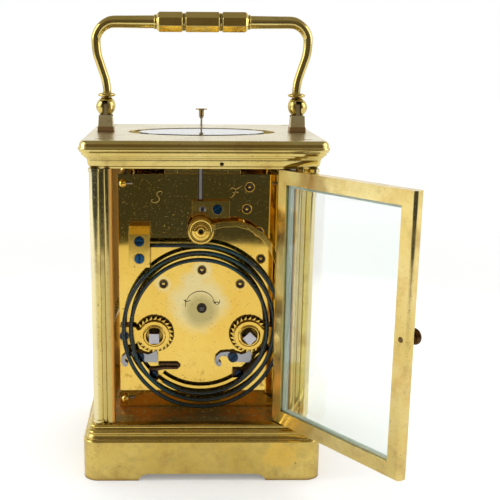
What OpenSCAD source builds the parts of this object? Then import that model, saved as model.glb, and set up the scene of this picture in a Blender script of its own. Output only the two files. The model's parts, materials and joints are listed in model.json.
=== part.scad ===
// Carriage clock: a brass corniche case with a folding bail, a hinged back door and bevelled glass,
// round an eight-day movement that strikes on a coiled gong and repeats from a button on the roof.
// X runs across the case, +Y leads out of the back door, +Z is up. The origin is under the base's centre.

/* [Case] */
// Width of the base
base_w = 97.7; // [95:0.1:104]
// Depth of the base, front to back
base_d = 88; // [86:0.5:96]
// Height of the base's plain body, below its mouldings
base_body_h = 17.2; // [14:0.1:22]
// Height of the base's mouldings
base_moulding_h = 6.2; // [6:0.1:8]
// Corner radius of the base in plan
base_corner_r = 6.4; // [5.5:0.1:9]
// Wall of the hollow base
base_wall = 3.2; // [2.4:0.1:5]
// Thickness of the case floor
floor_t = 3; // [2.4:0.1:4]
// Height of the arch between the feet
foot_rise = 2.9; // [1:0.1:5]
// Length of each solid foot, from the base's corner to the arch
foot_l = 22.8; // [14:0.1:30]
// How much shorter the arch is at its top, at each end
foot_curve = 4.5; // [2:0.1:8]
// Height of the corner pillars
pillar_h = 104.6; // [104:0.1:112]
// Width of each corner pillar's face
pillar_w = 9; // [8.4:0.1:10.5]
// How far the pillars' faces stand in from the base's body
pillar_inset = 4.35; // [4:0.05:5.5]
// Radius of the round column at each pillar's corner
corner_column_r = 2.3; // [1.9:0.05:2.6]
// Radius of the slimmer columns beside it
side_column_r = 1.9; // [1.8:0.05:2]
// Height of the cornice that carries the roof
cornice_h = 11; // [10.5:0.1:13]
// How far the cornice's widest edge stands in from the base's body
cornice_inset = 0.35; // [0:0.05:0.8]
// Corner radius of the cornice in plan
cornice_corner_r = 5.2; // [5:0.1:7]
// Thickness of the roof plate
roof_t = 3; // [2.6:0.1:4]

/* [Glass] */
// Thickness of every glass panel
glass_t = 2; // [1.6:0.1:2.4]
// Thickness of a panel at its ground edge
glass_edge_t = 1.1; // [0.8:0.1:1.4]
// Width of the bevel round a panel
bevel_w = 4.6; // [3:0.1:6]
// How deep a panel sits in its grooves
groove_depth = 1.3; // [1:0.1:1.8]
// Play between a panel and its groove
groove_play = 0.1; // [0.05:0.01:0.2]
// How far the fixed panels lie behind the pillars' faces
glass_setback = 1.3; // [1:0.1:1.8]
// Half length of the oval window in the roof
roof_window_a = 31; // [27:0.5:32]
// Half width of the oval window in the roof
roof_window_b = 20; // [17:0.5:22]

/* [Back door] */
// Play between the door and the case, on every side
door_play = 0.4; // [0.35:0.01:0.6]
// Thickness of the door's frame
door_t = 4.4; // [4:0.1:4.8]
// Width of the door's upright stiles
stile_w = 6; // [5.6:0.1:7]
// Width of the door's top and bottom rails
rail_w = 5.5; // [5:0.1:7]
// Rounding of the door's upright edges
door_edge_r = 1.5; // [1.3:0.05:1.8]
// Distance of the hinge pins from the door's hinge edge
hinge_inset = 3.2; // [3:0.05:3.3]
// Radius of the hinge pins
hinge_pin_r = 1; // [0.8:0.05:1.2]
// How far the door stands open
door_open = 124.6; // [90:0.1:124.6]
// Height of the door knob above the door's bottom edge
knob_z = 52; // [30:0.5:80]
// Radius of the door knob
knob_r = 3; // [2.4:0.1:3.6]

/* [Handle] */
// Height of the bail's pivots above the roof
pivot_h = 10.5; // [10.3:0.1:13]
// Distance of each bail pivot from the case's centre line
pivot_x = 40.4; // [38:0.1:41]
// Height of the grip's centre line above the pivots
grip_rise = 34.3; // [30:0.1:40]
// Distance of the bail's outermost bends from the centre line
bail_half_w = 44; // [43.6:0.1:46]
// Radius of the bail's rod
bail_r = 2.2; // [1.7:0.05:2.4]
// Radius of the bends into the grip
bend_r = 8; // [6:0.1:9]
// Width of the eight-sided grip across its flats
grip_w = 8.1; // [6.5:0.1:9]
// Length of the whole grip
grip_l = 38.8; // [30:0.1:48]
// Radius of the balls at the bail's ends
ball_r = 4.1; // [3.8:0.05:4.3]
// Thickness of the tongues that the balls straddle
tongue_t = 2; // [1.6:0.1:2.4]
// Radius of the pivot pins
bail_pin_r = 0.8; // [0.6:0.05:1]

/* [Repeat button] */
// Distance of the button's axis behind the cornice's front edge
button_setback = 8; // [7.4:0.1:8.6]
// Radius of the button's disc
button_r = 2.65; // [2:0.05:3.2]
// Height of the button's disc above the roof
button_h = 7.6; // [6:0.1:9]
// How far the button travels
button_travel = 2; // [1:0.1:2.2]
// Radius of the button's stem
stem_r = 0.55; // [0.5:0.05:0.7]

/* [Movement] */
// Width of the two plates
plate_w = 69.2; // [68.6:0.1:69.8]
// Height of the plates
plate_h = 100.1; // [99.4:0.1:100.4]
// Thickness of the plates
plate_t = 2; // [1.6:0.1:2.4]
// Space between the plates
plate_gap = 37; // [36.5:0.1:37.5]
// Distance of the back plate's outer face behind the case's centre
back_plate_y = 21; // [20.6:0.1:21.4]
// Radial play of every arbor and pin in its bore
running_play = 0.05; // [0.03:0.01:0.08]
// Radius of the slim pivots of the wheels
pivot_r = 0.55; // [0.4:0.05:0.65]
// Radius of the wheels' arbors
arbor_r = 0.8; // [0.7:0.05:0.85]
// Thickness of the train wheels
wheel_t = 1.1; // [0.8:0.05:1.2]
// Radius of the barrels' drums
drum_r = 17.3; // [16.6:0.1:17.4]
// Thickness of the mainsprings' strip
mainspring_t = 0.5; // [0.3:0.05:0.6]
// Height of the winding axes above the case floor
winding_z = 32.9; // [32.8:0.1:33.2]
// Distance of the winding axes from the centre line
winding_x = 19.8; // [19.7:0.05:19.9]
// Width of the winding squares across their flats
square_w = 4.2; // [3.6:0.1:4.4]
// Outer radius of the ratchet wheels
ratchet_r = 8; // [7.8:0.1:8.1]
// Radius of the escape wheel
escape_r = 4; // [3.6:0.05:4.1]
// Radius of the balance wheel
balance_r = 7.2; // [6:0.1:7.3]

/* [Striking work] */
// Radius of the gong's wire
gong_wire_r = 0.75; // [0.6:0.05:0.9]
// Half width of the gong's outer turn
gong_a = 34.3; // [33:0.1:34.6]
// Half height of the gong's outer turn
gong_b = 35.65; // [35:0.05:35.8]
// Distance from one turn of the gong to the next
gong_pitch = 3; // [2.4:0.1:3.2]
// Radius of the hammer's head
hammer_r = 5.3; // [4.5:0.1:5.4]
// Length of the hammer's head
hammer_l = 6; // [4:0.1:7]

/* [Dial] */
// Radius of the enamel dial
dial_r = 28; // [27.2:0.1:30]
// Radius of the mask's window over it
dial_window_r = 26.5; // [25:0.1:26.8]
// Length of the minute hand
minute_hand_l = 22.5; // [18:0.1:24]
// Length of the hour hand
hour_hand_l = 15; // [11:0.1:17]

/* [Hidden] */
$fn = 48;

brass = "#c8a94a";
gilt = "#e3c25f";
steel = "#9aa0a6";
blued = "#31405c";
glass_colour = "#cfe3dc";
bronze = "#5b4a32";

// Gap between faces that move past each other
gap = 0.3;
// Hair's breadth that a cut runs past a face
cut = 0.01;

// Case outlines
base_top = base_body_h + base_moulding_h;
cornice_z = base_top + pillar_h;
roof_z = cornice_z + cornice_h;
cornice_w = base_w - 2 * cornice_inset;
cornice_d = base_d - 2 * cornice_inset;
pillar_x = base_w / 2 - pillar_inset;
pillar_y = base_d / 2 - pillar_inset;
opening_x = pillar_x - pillar_w;
opening_y = pillar_y - pillar_w;
pillar_axis = [pillar_x - pillar_w / 2, pillar_y - pillar_w / 2];
glass_x = pillar_x - glass_setback - glass_t;
glass_y = pillar_y - glass_setback - glass_t;
cavity_top = roof_z - roof_t;
roof_ledge = 1.5;
screw_r = 1.2;
screw_play = 0.05;
screw_l = 9;
screw_end = 1.5;
screw_head_r = 2.2;
screw_head_h = 1.4;
pillar_base_h = 1.4;

// Door
door_w = 2 * (opening_x - door_play);
door_h = pillar_h - 2 * door_play;
door_y = pillar_y - door_t / 2;
hinge_x = -door_w / 2 + hinge_inset;
hinge_pin_l = 5;

// Bail
pivot_z = roof_z + pivot_h;
lug_top = pivot_z - ball_r + 0.6;
lug_w = 6.2;
lug_d = 6;
tongue_r = 2.3;
collar_r = 3.3;
grip_r = grip_w / 2 / cos(180 / 8);

// Repeat work
button_x = -0.8;
button_y = -cornice_d / 2 + button_setback;
button_z = roof_z + button_h;
stem_bottom = cornice_z - 2.1;
spring_r = 1;
spring_wire_r = 0.15;
spring_pocket_r = 1.4;
spring_seat_z = cornice_z + 2;
spring_l = 5;
collar_t = 0.7;

// Movement: plates, and the axes of the wheels in the plane of the plates, [x, z]
back_in = back_plate_y - plate_t;
front_in = back_in - plate_gap;
front_plate_y = front_in - plate_t;
plate_top = base_top + plate_h;
axis_z = base_top + winding_z;
time_axis = [winding_x, axis_z];
strike_axis = [-winding_x, axis_z];
centre_axis = [0, axis_z + 11];
second_axis = [16, axis_z + 21.45];
third_axis = [0, axis_z + 27.4];
fourth_axis = [0, axis_z + 41.3];
contrate_axis = [0, axis_z + 53.5];
strike_second_axis = [-16, axis_z + 21.45];
pin_axis = [-24.4, axis_z + 32.2];
gathering_axis = [-23.3, axis_z + 43.5];
warning_axis = [-18.2, axis_z + 53.1];
fly_axis = [-19.2, axis_z + 62.15];
hammer_axis = [-32, axis_z + 22.7];
minute_axis = centre_axis + [-8.4, 0];
rack_axis = centre_axis + [-20, -18];
lever_axis = centre_axis + [14, 44.7];
pillar_spots = [for (x = [-1, 1]) for (z = [base_top + 4.3, plate_top - 3.5]) [x * (plate_w / 2 - 2.2), z]];

// Play of an arbor between the plates, at each end
end_shake = 0.2;

// Levels of the wheels along Y, each counted from the front plate's inner face
rim_y = front_in + 10.5;
rim_t = 3;
drum_back = back_in - 1.5;
second_y = front_in + 7.4;
centre_y = front_in + 4.8;
third_y = front_in + 9.5;
fourth_y = front_in + 14;
contrate_y = front_in + 12.4;
pin_y = front_in + 15.4;
gathering_y = front_in + 19.5;
warning_y = front_in + 23.5;

// Teeth: wheels first, then the pinions that they drive
barrel_n = 84;
second_pinion_n = 14;
second_n = 60;
centre_pinion_n = 15;
centre_n = 64;
third_pinion_n = 16;
third_n = 64;
fourth_pinion_n = 16;
fourth_n = 60;
contrate_pinion_n = 12;
contrate_n = 48;
escape_pinion_n = 8;
escape_n = 15;
strike_second_n = 60;
pin_pinion_n = 10;
pin_n = 60;
gathering_pinion_n = 8;
gathering_n = 56;
warning_pinion_n = 8;
warning_n = 48;
fly_pinion_n = 8;
cannon_n = 12;
minute_n = 36;
minute_pinion_n = 10;
hour_n = 40;

// Platform, seen from above, [x, y]
platform_w = 31;
platform_t = 1.6;
platform_y0 = front_in - 1.5;
platform_y1 = back_in + 1.5;
platform_top = plate_top + platform_t;
escape_at = [0, contrate_y - 3.4];
pallet_at = escape_at + [0, escape_r / cos(30)];
balance_at = pallet_at + [0, 7.9];
contrate_r = 8.4;
escape_pinion_r = contrate_r * escape_pinion_n / contrate_n;
cock_z = platform_top + 6.6;
cock_t = 1.4;
index_z = cock_z + cock_t + 0.3;

// ---------------------------------------------------------------------------------------------
// Shared shapes

// Puts a drawing in X and Z between two levels of Y
module slab(y0, y1) {
  translate([0, y1, 0]) rotate([90, 0, 0]) linear_extrude(y1 - y0) children();
}

// A round rod along Y through the point [x, z]
module rod(at, y0, y1, r) {
  translate([at[0], y1, at[1]]) rotate([90, 0, 0]) cylinder(r = r, h = y1 - y0);
}

// A square rod along Y
module square_rod(at, y0, y1, w, turn) {
  slab(y0, y1) translate(at) rotate(turn) square(w, center = true);
}

// A slotted screw with its head on +Z: the head stands on z = 0 and the shank hangs below it
module screw(head_r, head_h, shank_r, shank_l) {
  difference() {
    union() {
      cylinder(r = head_r, h = head_h);
      translate([0, 0, -shank_l]) cylinder(r = shank_r, h = shank_l + cut);
    }
    translate([0, 0, head_h]) cube([2 * head_r + 1, head_r / 4, head_h], center = true);
  }
}

// A screw that is driven in along -Y with its slot turned
module plate_screw(at, y, head_r, head_h, shank_r, shank_l, turn) {
  translate([at[0], y, at[1]]) rotate([-90, 0, 0]) rotate(turn) screw(head_r, head_h, shank_r, shank_l);
}

// A solid with rounded corners in plan whose edge follows a list of [inset, z]
module moulded(w, d, r, edge) {
  section = concat([[0, edge[0][1]]], [for (p = edge) [r - p[0], p[1]]], [[0, edge[len(edge) - 1][1]]]);
  low = edge[0][1];
  high = edge[len(edge) - 1][1];
  for (k = [0:3])
    translate([(k == 0 || k == 3 ? 1 : -1) * (w / 2 - r), (k < 2 ? 1 : -1) * (d / 2 - r), 0])
      rotate(90 * k) rotate_extrude(angle = 90) polygon(section);
  for (s = [0, 180]) rotate(s) {
    translate([w / 2 - r, d / 2 - r, 0]) rotate([90, 0, 0]) linear_extrude(d - 2 * r) polygon(section);
    translate([-w / 2 + r, d / 2 - r, 0]) rotate([90, 0, 90]) linear_extrude(w - 2 * r) polygon(section);
  }
  translate([-w / 2 + r, -d / 2 + r, low]) cube([w - 2 * r, d - 2 * r, high - low]);
}

// A glass panel in X and Z with its bevelled face on +Y
module glass_panel(w, h) {
  intersection() {
    linear_extrude(h) polygon(panel_section(w));
    translate([-w / 2 - 1, 0, h / 2]) rotate([90, 0, 90]) linear_extrude(w + 2)
      polygon([for (p = panel_section(h)) [p[1], p[0]]]);
  }
}
function panel_section(w) = [[-w / 2, 0], [w / 2, 0], [w / 2, glass_edge_t], [w / 2 - bevel_w, glass_t],
  [-w / 2 + bevel_w, glass_t], [-w / 2, glass_edge_t]];

// Points of an ellipse
function oval(a, b, n) = [for (i = [0:n - 1]) [a * cos(360 * i / n), b * sin(360 * i / n)]];

// Toothed outline: thickness and heights of a tooth are multiples of the module m
function toothed(n, m, phase, thick, up, down) = [for (i = [0:n - 1]) for (p = [
    [-down, -thick / 2 - 0.1], [0, -thick / 2], [up, -0.18], [up, 0.18], [0, thick / 2],
    [-down, thick / 2 + 0.1]])
  let (r = m * (n / 2 + p[0]), a = phase + 360 * i / n + p[1] * 360 / (PI * n))
  [r * cos(a), r * sin(a)]];
wheel_tooth = [1.4, 1.0, 1.25];
leaf_tooth = [1.0, 0.75, 1.35];

module wheel_outline(n, m, phase) {
  polygon(toothed(n, m, phase, wheel_tooth[0], wheel_tooth[1], wheel_tooth[2]));
}
module pinion_outline(n, m, phase) {
  polygon(toothed(n, m, phase, leaf_tooth[0], leaf_tooth[1], leaf_tooth[2]));
}

// Module of a pair of wheels from the distance of their axes
function pair_module(a, b, n1, n2) = 2 * norm(b - a) / (n1 + n2);
// Direction from one axis to another
function bearing(a, b) = atan2(b[1] - a[1], b[0] - a[0]);
// Phase of the second wheel that meshes with the first, whose phase is given
function mesh_phase(a, b, n1, n2, phase) =
  bearing(a, b) + 180 + 180 / n2 + (bearing(a, b) - phase) * n1 / n2;

// A brass wheel with five curved windows between its hub and its rim
module crossed_wheel(at, y, n, m, phase) {
  rim_in = m * (n / 2 - 1.25) - 1.3;
  slab(y, y + wheel_t) translate(at) difference() {
    wheel_outline(n, m, phase);
    if (rim_in > 4) for (k = [0:4]) rotate(72 * k + phase) difference() {
      intersection() {
        circle(r = rim_in);
        polygon([for (a = [-26, 0, 26]) 3.4 * [cos(a), sin(a)],
          for (a = [29, 0, -29]) 1.4 * rim_in * [cos(a), sin(a)]]);
      }
      circle(r = 2.9);
    }
  }
}

// An arbor between both plates with its two pivots
module arbor(at, r) {
  rod(at, front_in + end_shake, back_in - end_shake, r);
  rod(at, front_plate_y + end_shake / 2, back_plate_y - 0.6, pivot_r);
}

module pinion(at, y0, y1, n, m, phase) {
  slab(y0, y1) translate(at) pinion_outline(n, m, phase);
}

// A steel spiral drawn as one strip
module spiral_strip(r0, r1, turns, steps, t) {
  n = turns * steps;
  polygon(concat(
    [for (i = [0:n]) let (a = 360 * i / steps, r = r0 + (r1 - r0) * i / n)
      [(r + t / 2) * cos(a), (r + t / 2) * sin(a)]],
    [for (j = [0:n]) let (i = n - j, a = 360 * i / steps, r = r0 + (r1 - r0) * i / n)
      [(r - t / 2) * cos(a), (r - t / 2) * sin(a)]]));
}

// A round wire through a list of points whose frame keeps the Y direction
module wire(path, r, sides, up = [0, 1, 0]) {
  n = len(path);
  side = [for (i = [0:n - 1]) let (d = path[min(i + 1, n - 1)] - path[max(i - 1, 0)]) d / norm(d)];
  rings = [for (i = [0:n - 1]) let (u = cross(side[i], up), un = u / norm(u), v = cross(un, side[i]))
    for (k = [0:sides - 1]) path[i] + r * (un * cos(360 * k / sides) + v * sin(360 * k / sides))];
  walls = [for (i = [0:n - 2]) for (k = [0:sides - 1])
    let (a = i * sides + k, b = i * sides + (k + 1) % sides) [a, b, b + sides, a + sides]];
  ends = [[for (k = [0:sides - 1]) sides - 1 - k], [for (k = [0:sides - 1]) (n - 1) * sides + k]];
  polyhedron(rings, concat(walls, ends));
}

// ---------------------------------------------------------------------------------------------
// Case

function base_edge() = [[0, 0], [0, base_body_h - 0.5], [0.5, base_body_h], [1.1, base_body_h],
  [1.3, base_body_h + 1.2], [1.9, base_body_h + 1.9], [1.9, base_body_h + 2.2],
  for (a = [-75:30:75]) [2.3 - 0.75 * cos(a), base_body_h + 2.95 + 0.75 * sin(a)],
  [2.6, base_body_h + 3.9], [2.9, base_body_h + 4.3],
  for (a = [-75:30:75]) [3.4 - 0.85 * cos(a), base_top - 0.95 + 0.85 * sin(a)], [3.6, base_top]];

// One arch between the feet, cut right through the base along Y
module foot_arch(half) {
  slab(-base_d, base_d) polygon(concat([[-half, -1], [half, -1]],
    [for (a = [0:15:90]) [half - foot_curve + foot_curve * cos(a), foot_rise * sin(a)]],
    [for (a = [90:-15:0]) [-half + foot_curve - foot_curve * cos(a), foot_rise * sin(a)]]));
}

module base() {
  color(brass) difference() {
    moulded(base_w, base_d, base_corner_r, base_edge());
    translate([-base_w / 2 + base_wall, -base_d / 2 + base_wall, -1])
      cube([base_w - 2 * base_wall, base_d - 2 * base_wall, base_top - floor_t + 1]);
    foot_arch(base_w / 2 - foot_l);
    rotate(90) foot_arch(base_d / 2 - foot_l);
    for (x = [-1, 1]) for (y = [-1, 1])
      translate([x * pillar_axis[0], y * pillar_axis[1], 0])
        cylinder(r = screw_r + screw_play, h = base_top + 1);
    for (x = [-1, 1]) translate([x * pillar_spots[3][0], 0, 0])
      cylinder(r = screw_r + screw_play, h = base_top + 1);
    translate([hinge_x, door_y, base_top - 2]) cylinder(r = hinge_pin_r, h = 3);
  }
}

// Plan of the pillar in the +X, +Y corner
module pillar_plan(swell) {
  back = [opening_x + side_column_r, pillar_y - side_column_r];
  side = [pillar_x - side_column_r, opening_y + side_column_r];
  translate([opening_x + 0.9, opening_y + 0.9]) square(pillar_w - 1.8);
  translate([pillar_x - corner_column_r, pillar_y - corner_column_r]) circle(r = corner_column_r + swell);
  translate(back) circle(r = side_column_r);
  translate(side) circle(r = side_column_r);
}

module pillar() {
  difference() {
    union() {
      translate([0, 0, base_top]) linear_extrude(pillar_h) pillar_plan(0);
      for (z = [base_top, cornice_z - pillar_base_h]) translate([0, 0, z])
        linear_extrude(pillar_base_h) pillar_plan(0.35);
    }
    // Groove of the side panel, then that of a front panel
    translate([glass_x - groove_play, opening_y - 1, base_top - 1])
      cube([glass_t + 2 * groove_play, groove_depth + 1 + groove_play, pillar_h + 2]);
    for (z = [base_top - 1, cornice_z - screw_l]) translate([pillar_axis[0], pillar_axis[1], z])
      cylinder(r = screw_r + screw_play, h = screw_l + 1);
  }
}

module case_pillars() {
  color(brass) for (x = [0, 1]) for (y = [0, 1]) mirror([x, 0, 0]) mirror([0, y, 0]) difference() {
    pillar();
    if (y == 1) translate([opening_x - 1, glass_y - groove_play, base_top - 1])
      cube([groove_depth + 1 + groove_play, glass_t + 2 * groove_play, pillar_h + 2]);
  }
}

function cornice_edge() = [[4.8, cornice_z], [4.7, cornice_z + 0.5],
  for (a = [0:18:90]) [3.5 + 1.1 * (1 - sin(a)), cornice_z + 0.7 + 2.8 * (1 - cos(a))],
  [3.3, cornice_z + 3.6], [3, cornice_z + 4.2], [2.4, cornice_z + 4.4], [2.2, cornice_z + 5],
  [1.4, cornice_z + 5.2], [1.2, cornice_z + 6.2], [0.5, cornice_z + 6.5], [0.5, cornice_z + 6.9],
  for (a = [-60:30:60]) [0.8 - 0.8 * cos(a), cornice_z + 7.7 + 0.8 * sin(a)],
  for (a = [0:18:90]) [0.5 + 1.8 * (1 - cos(a)), cornice_z + 8.7 + (cornice_h - 8.7) * sin(a)]];

module cornice() {
  color(brass) difference() {
    moulded(cornice_w, cornice_d, cornice_corner_r, cornice_edge());
    translate([-opening_x, -opening_y, cornice_z - 1])
      cube([2 * opening_x, 2 * opening_y, cavity_top - cornice_z + 1]);
    translate([0, 0, cavity_top - 1]) linear_extrude(roof_t + 2)
      polygon(oval(roof_window_a - roof_ledge, roof_window_b - roof_ledge, 60));
    translate([0, 0, roof_z - glass_t - groove_play]) linear_extrude(glass_t + 1)
      polygon(oval(roof_window_a, roof_window_b, 60));
    for (x = [-1, 1]) for (y = [-1, 1]) translate([x * pillar_axis[0], y * pillar_axis[1], cornice_z - 1]) {
      cylinder(r = screw_r + screw_play, h = cornice_h + 2);
      translate([0, 0, cornice_h - screw_head_h + 1]) cylinder(r = screw_head_r + screw_play, h = 3);
    }
    for (x = [-1, 1]) translate([x * pivot_x, 0, cornice_z - 1]) {
      cylinder(r = screw_r + screw_play, h = cornice_h + 2);
      cylinder(r = screw_head_r + screw_play, h = screw_head_h + 1);
    }
    translate([button_x, button_y, cornice_z - 1]) cylinder(r = stem_r + running_play, h = cornice_h + 2);
    translate([button_x, button_y, spring_seat_z])
      cylinder(r = spring_pocket_r, h = spring_l + collar_t + gap);
    translate([hinge_x, door_y, cornice_z - 1]) cylinder(r = hinge_pin_r, h = 3);
  }
}

module case_glasses() {
  panel_h = pillar_h - 2 * groove_play;
  side_w = 2 * (opening_y + groove_depth);
  front_w = 2 * (opening_x + groove_depth);
  color(glass_colour, 0.35) {
    for (s = [-1, 1]) translate([s * (glass_x + glass_t / 2), 0, base_top + groove_play])
      rotate(-90 * s) translate([0, -glass_t / 2, 0]) glass_panel(side_w, panel_h);
    translate([0, -glass_y, base_top + groove_play]) rotate(180) glass_panel(front_w, panel_h);
    translate([0, 0, roof_z - glass_t]) {
      linear_extrude(glass_edge_t)
        polygon(oval(roof_window_a - groove_play, roof_window_b - groove_play, 60));
      linear_extrude(glass_t) polygon(oval(roof_window_a - bevel_w, roof_window_b - bevel_w, 60));
    }
  }
}

module case_screws() {
  color(steel) {
    for (x = [-1, 1]) for (y = [-1, 1]) translate([x * pillar_axis[0], y * pillar_axis[1], 0]) {
      translate([0, 0, base_top - floor_t]) mirror([0, 0, 1])
        screw(screw_head_r, screw_head_h, screw_r, floor_t + screw_l - screw_end);
      translate([0, 0, roof_z - screw_head_h])
        screw(screw_head_r, screw_head_h, screw_r, cornice_h - screw_head_h + screw_l - screw_end);
    }
    for (x = [-1, 1]) translate([x * pillar_spots[3][0], 0, base_top - floor_t]) mirror([0, 0, 1])
      screw(screw_head_r, screw_head_h, screw_r, floor_t + 4);
    for (x = [-1, 1]) translate([x * pivot_x, 0, cornice_z + screw_head_h]) mirror([0, 0, 1])
      screw(screw_head_r, screw_head_h, screw_r, cornice_h - screw_head_h + 3);
  }
}

// ---------------------------------------------------------------------------------------------
// Back door, drawn shut and turned open about its hinge pins

module opened() {
  translate([hinge_x, door_y, 0]) rotate(door_open) translate([-hinge_x, -door_y, 0]) children();
}

door_glass_w = door_w - 2 * stile_w + 2 * groove_depth;
door_glass_h = door_h - 2 * rail_w + 2 * groove_depth;
door_z = base_top + door_play;

module door_frame() {
  e = door_edge_r;
  color(brass) opened() difference() {
    translate([0, door_y, door_z]) linear_extrude(door_h) {
      square([door_w - 2 * e, door_t], center = true);
      square([door_w, door_t - 2 * e], center = true);
      for (x = [-1, 1]) for (y = [-1, 1])
        translate([x * (door_w / 2 - e), y * (door_t / 2 - e)]) circle(r = e);
    }
    translate([-door_w / 2 + stile_w, door_y - door_t, door_z + rail_w])
      cube([door_w - 2 * stile_w, 2 * door_t, door_h - 2 * rail_w]);
    translate([-door_glass_w / 2 - groove_play, door_y - glass_t / 2 - groove_play,
      door_z + rail_w - groove_depth - groove_play])
      cube([door_glass_w + 2 * groove_play, glass_t + 2 * groove_play, door_glass_h + 2 * groove_play]);
    for (z = [door_z - 1, door_z + door_h - hinge_pin_l - 1]) translate([hinge_x, door_y, z])
      cylinder(r = hinge_pin_r + running_play, h = hinge_pin_l + 2);
    translate([door_w / 2 - stile_w / 2, door_y, door_z + knob_z]) rotate([90, 0, 0])
      cylinder(r = 1 + screw_play, h = door_t + 1, center = true);
  }
}

module door_glass() {
  color(glass_colour, 0.35) opened() translate([0, door_y - glass_t / 2, door_z + rail_w - groove_depth])
    glass_panel(door_glass_w, door_glass_h);
}

// Turned knob on a shank that is riveted through the lock stile
module door_knob() {
  color(bronze) opened() translate([door_w / 2 - stile_w / 2, door_y + door_t / 2, door_z + knob_z])
    rotate([-90, 0, 0]) {
      translate([0, 0, -door_t]) cylinder(r = 1, h = door_t);
      rotate_extrude() polygon([[0, 0], [1.7, 0], [1.7, 0.5], [1.15, 0.8], [1.15, 1.6],
        [knob_r - 0.5, 2], [knob_r, 2.5], [knob_r, 3], [knob_r - 0.5, 3.6], [0, 4]]);
    }
}

module door_hinge_pins() {
  color(steel) {
    translate([hinge_x, door_y, base_top - 2]) cylinder(r = hinge_pin_r, h = door_play + hinge_pin_l + 1);
    translate([hinge_x, door_y, cornice_z - door_play - hinge_pin_l + 1])
      cylinder(r = hinge_pin_r, h = door_play + hinge_pin_l + 1);
  }
}

// ---------------------------------------------------------------------------------------------
// Folding bail

grip_z = pivot_z + grip_rise;
leg_lean = bail_half_w - pivot_x;
grip_parts = [0.295, 0.37, 0.295];
grip_groove = 0.02;

// One facetted length of the grip, centred on x
module grip_length(x, l) {
  translate([x, 0, grip_z]) rotate([0, 90, 0]) rotate(22.5) {
    translate([0, 0, -l / 2 + 0.6]) cylinder(r = grip_r, h = l - 1.2, $fn = 8);
    translate([0, 0, -l / 2]) cylinder(r1 = grip_r - 0.7, r2 = grip_r, h = 0.61, $fn = 8);
    translate([0, 0, l / 2 - 0.61]) cylinder(r1 = grip_r, r2 = grip_r - 0.7, h = 0.61, $fn = 8);
  }
}

// Centre line of one leg, from the collar over the bend to the grip
function leg_path() = concat(
  [[pivot_x - 0.7, pivot_z + 3], [pivot_x - 0.7, pivot_z + 6.5], [pivot_x - 0.1, pivot_z + 11]],
  [[pivot_x + leg_lean * 0.5, pivot_z + 17], [pivot_x + leg_lean * 0.87, pivot_z + 21.5]],
  [for (a = [0:15:90]) [bail_half_w - bend_r + bend_r * cos(a), grip_z - bend_r + bend_r * sin(a)]],
  [[grip_l / 2 - 1, grip_z]]);

module handle() {
  color(brass) {
    end_l = grip_l * grip_parts[0];
    mid_l = grip_l * grip_parts[1];
    rotate([0, 90, 0]) translate([-grip_z, 0, -grip_l / 2]) cylinder(r = grip_w / 2 - 0.8, h = grip_l);
    grip_length(0, mid_l);
    for (s = [-1, 1]) grip_length(s * (grip_l - end_l) / 2, end_l);
    for (s = [0, 1]) mirror([s, 0, 0]) {
      path = leg_path();
      wire([for (p = path) [p[0], 0, p[1]]], bail_r, 16);
      translate([pivot_x, 0, pivot_z]) difference() {
        union() {
          sphere(r = ball_r);
          translate([0, 0, ball_r - 0.9]) cylinder(r = collar_r - 0.9, h = 0.6);
          translate([0, 0, ball_r - 0.4]) cylinder(r = collar_r, h = 1.1);
          translate([0, 0, ball_r + 0.7]) cylinder(r1 = collar_r - 0.5, r2 = bail_r - 0.1, h = 1.2);
        }
        translate([0, 0, -ball_r / 2 + 0.6]) cube([tongue_t + 0.2, 3 * ball_r, ball_r + 3.8], center = true);
        rotate([0, 90, 0]) cylinder(r = bail_pin_r + running_play, h = 3 * ball_r, center = true);
      }
    }
  }
}

// Lugs on the roof: a stepped foot, a flared block dished under the ball, and the tongue
module handle_lugs() {
  color(brass) for (s = [-1, 1]) translate([s * pivot_x, 0, 0]) difference() {
    union() {
      slab(-lug_d / 2, lug_d / 2) polygon([[-lug_w / 2 - 0.3, roof_z], [lug_w / 2 + 0.3, roof_z],
        [lug_w / 2 + 0.3, roof_z + 2], [lug_w / 2, roof_z + 2.3], [lug_w / 2 - 0.3, lug_top],
        [-lug_w / 2 + 0.3, lug_top], [-lug_w / 2, roof_z + 2.3], [-lug_w / 2 - 0.3, roof_z + 2]]);
      translate([-tongue_t / 2, -tongue_r, lug_top - 2])
        cube([tongue_t, 2 * tongue_r, pivot_z - lug_top + 2]);
      translate([-tongue_t / 2, 0, pivot_z]) rotate([0, 90, 0]) cylinder(r = tongue_r, h = tongue_t);
    }
    for (t = [-1, 1]) translate([t * (tongue_t / 2 + 5), 0, pivot_z]) rotate([0, 90, 0])
      cylinder(r = ball_r + gap, h = 10, center = true);
    translate([0, 0, pivot_z]) rotate([0, 90, 0]) cylinder(r = bail_pin_r, h = tongue_t + 2, center = true);
    translate([0, 0, roof_z - 1]) cylinder(r = screw_r + screw_play, h = 4.2);
  }
}

module handle_pins() {
  color(steel) for (s = [-1, 1]) translate([s * pivot_x, 0, pivot_z]) rotate([0, 90, 0])
    cylinder(r = bail_pin_r, h = 2 * ball_r - 0.6, center = true);
}

// ---------------------------------------------------------------------------------------------
// Repeat button, its spring in the cornice, and the lever on the front plate

module repeat_button() {
  color(brass) translate([button_x, button_y, 0]) {
    translate([0, 0, button_z - 0.5]) cylinder(r = button_r, h = 0.5);
    translate([0, 0, button_z - 3.6]) cylinder(r = 1.2, h = 3.2);
    translate([0, 0, button_z - 4.6]) cylinder(r1 = stem_r, r2 = 1.2, h = 1.01);
    translate([0, 0, stem_bottom]) cylinder(r = stem_r, h = button_z - 4 - stem_bottom);
    translate([0, 0, spring_seat_z + spring_l]) cylinder(r = spring_pocket_r - 0.1, h = collar_t);
  }
}

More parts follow.
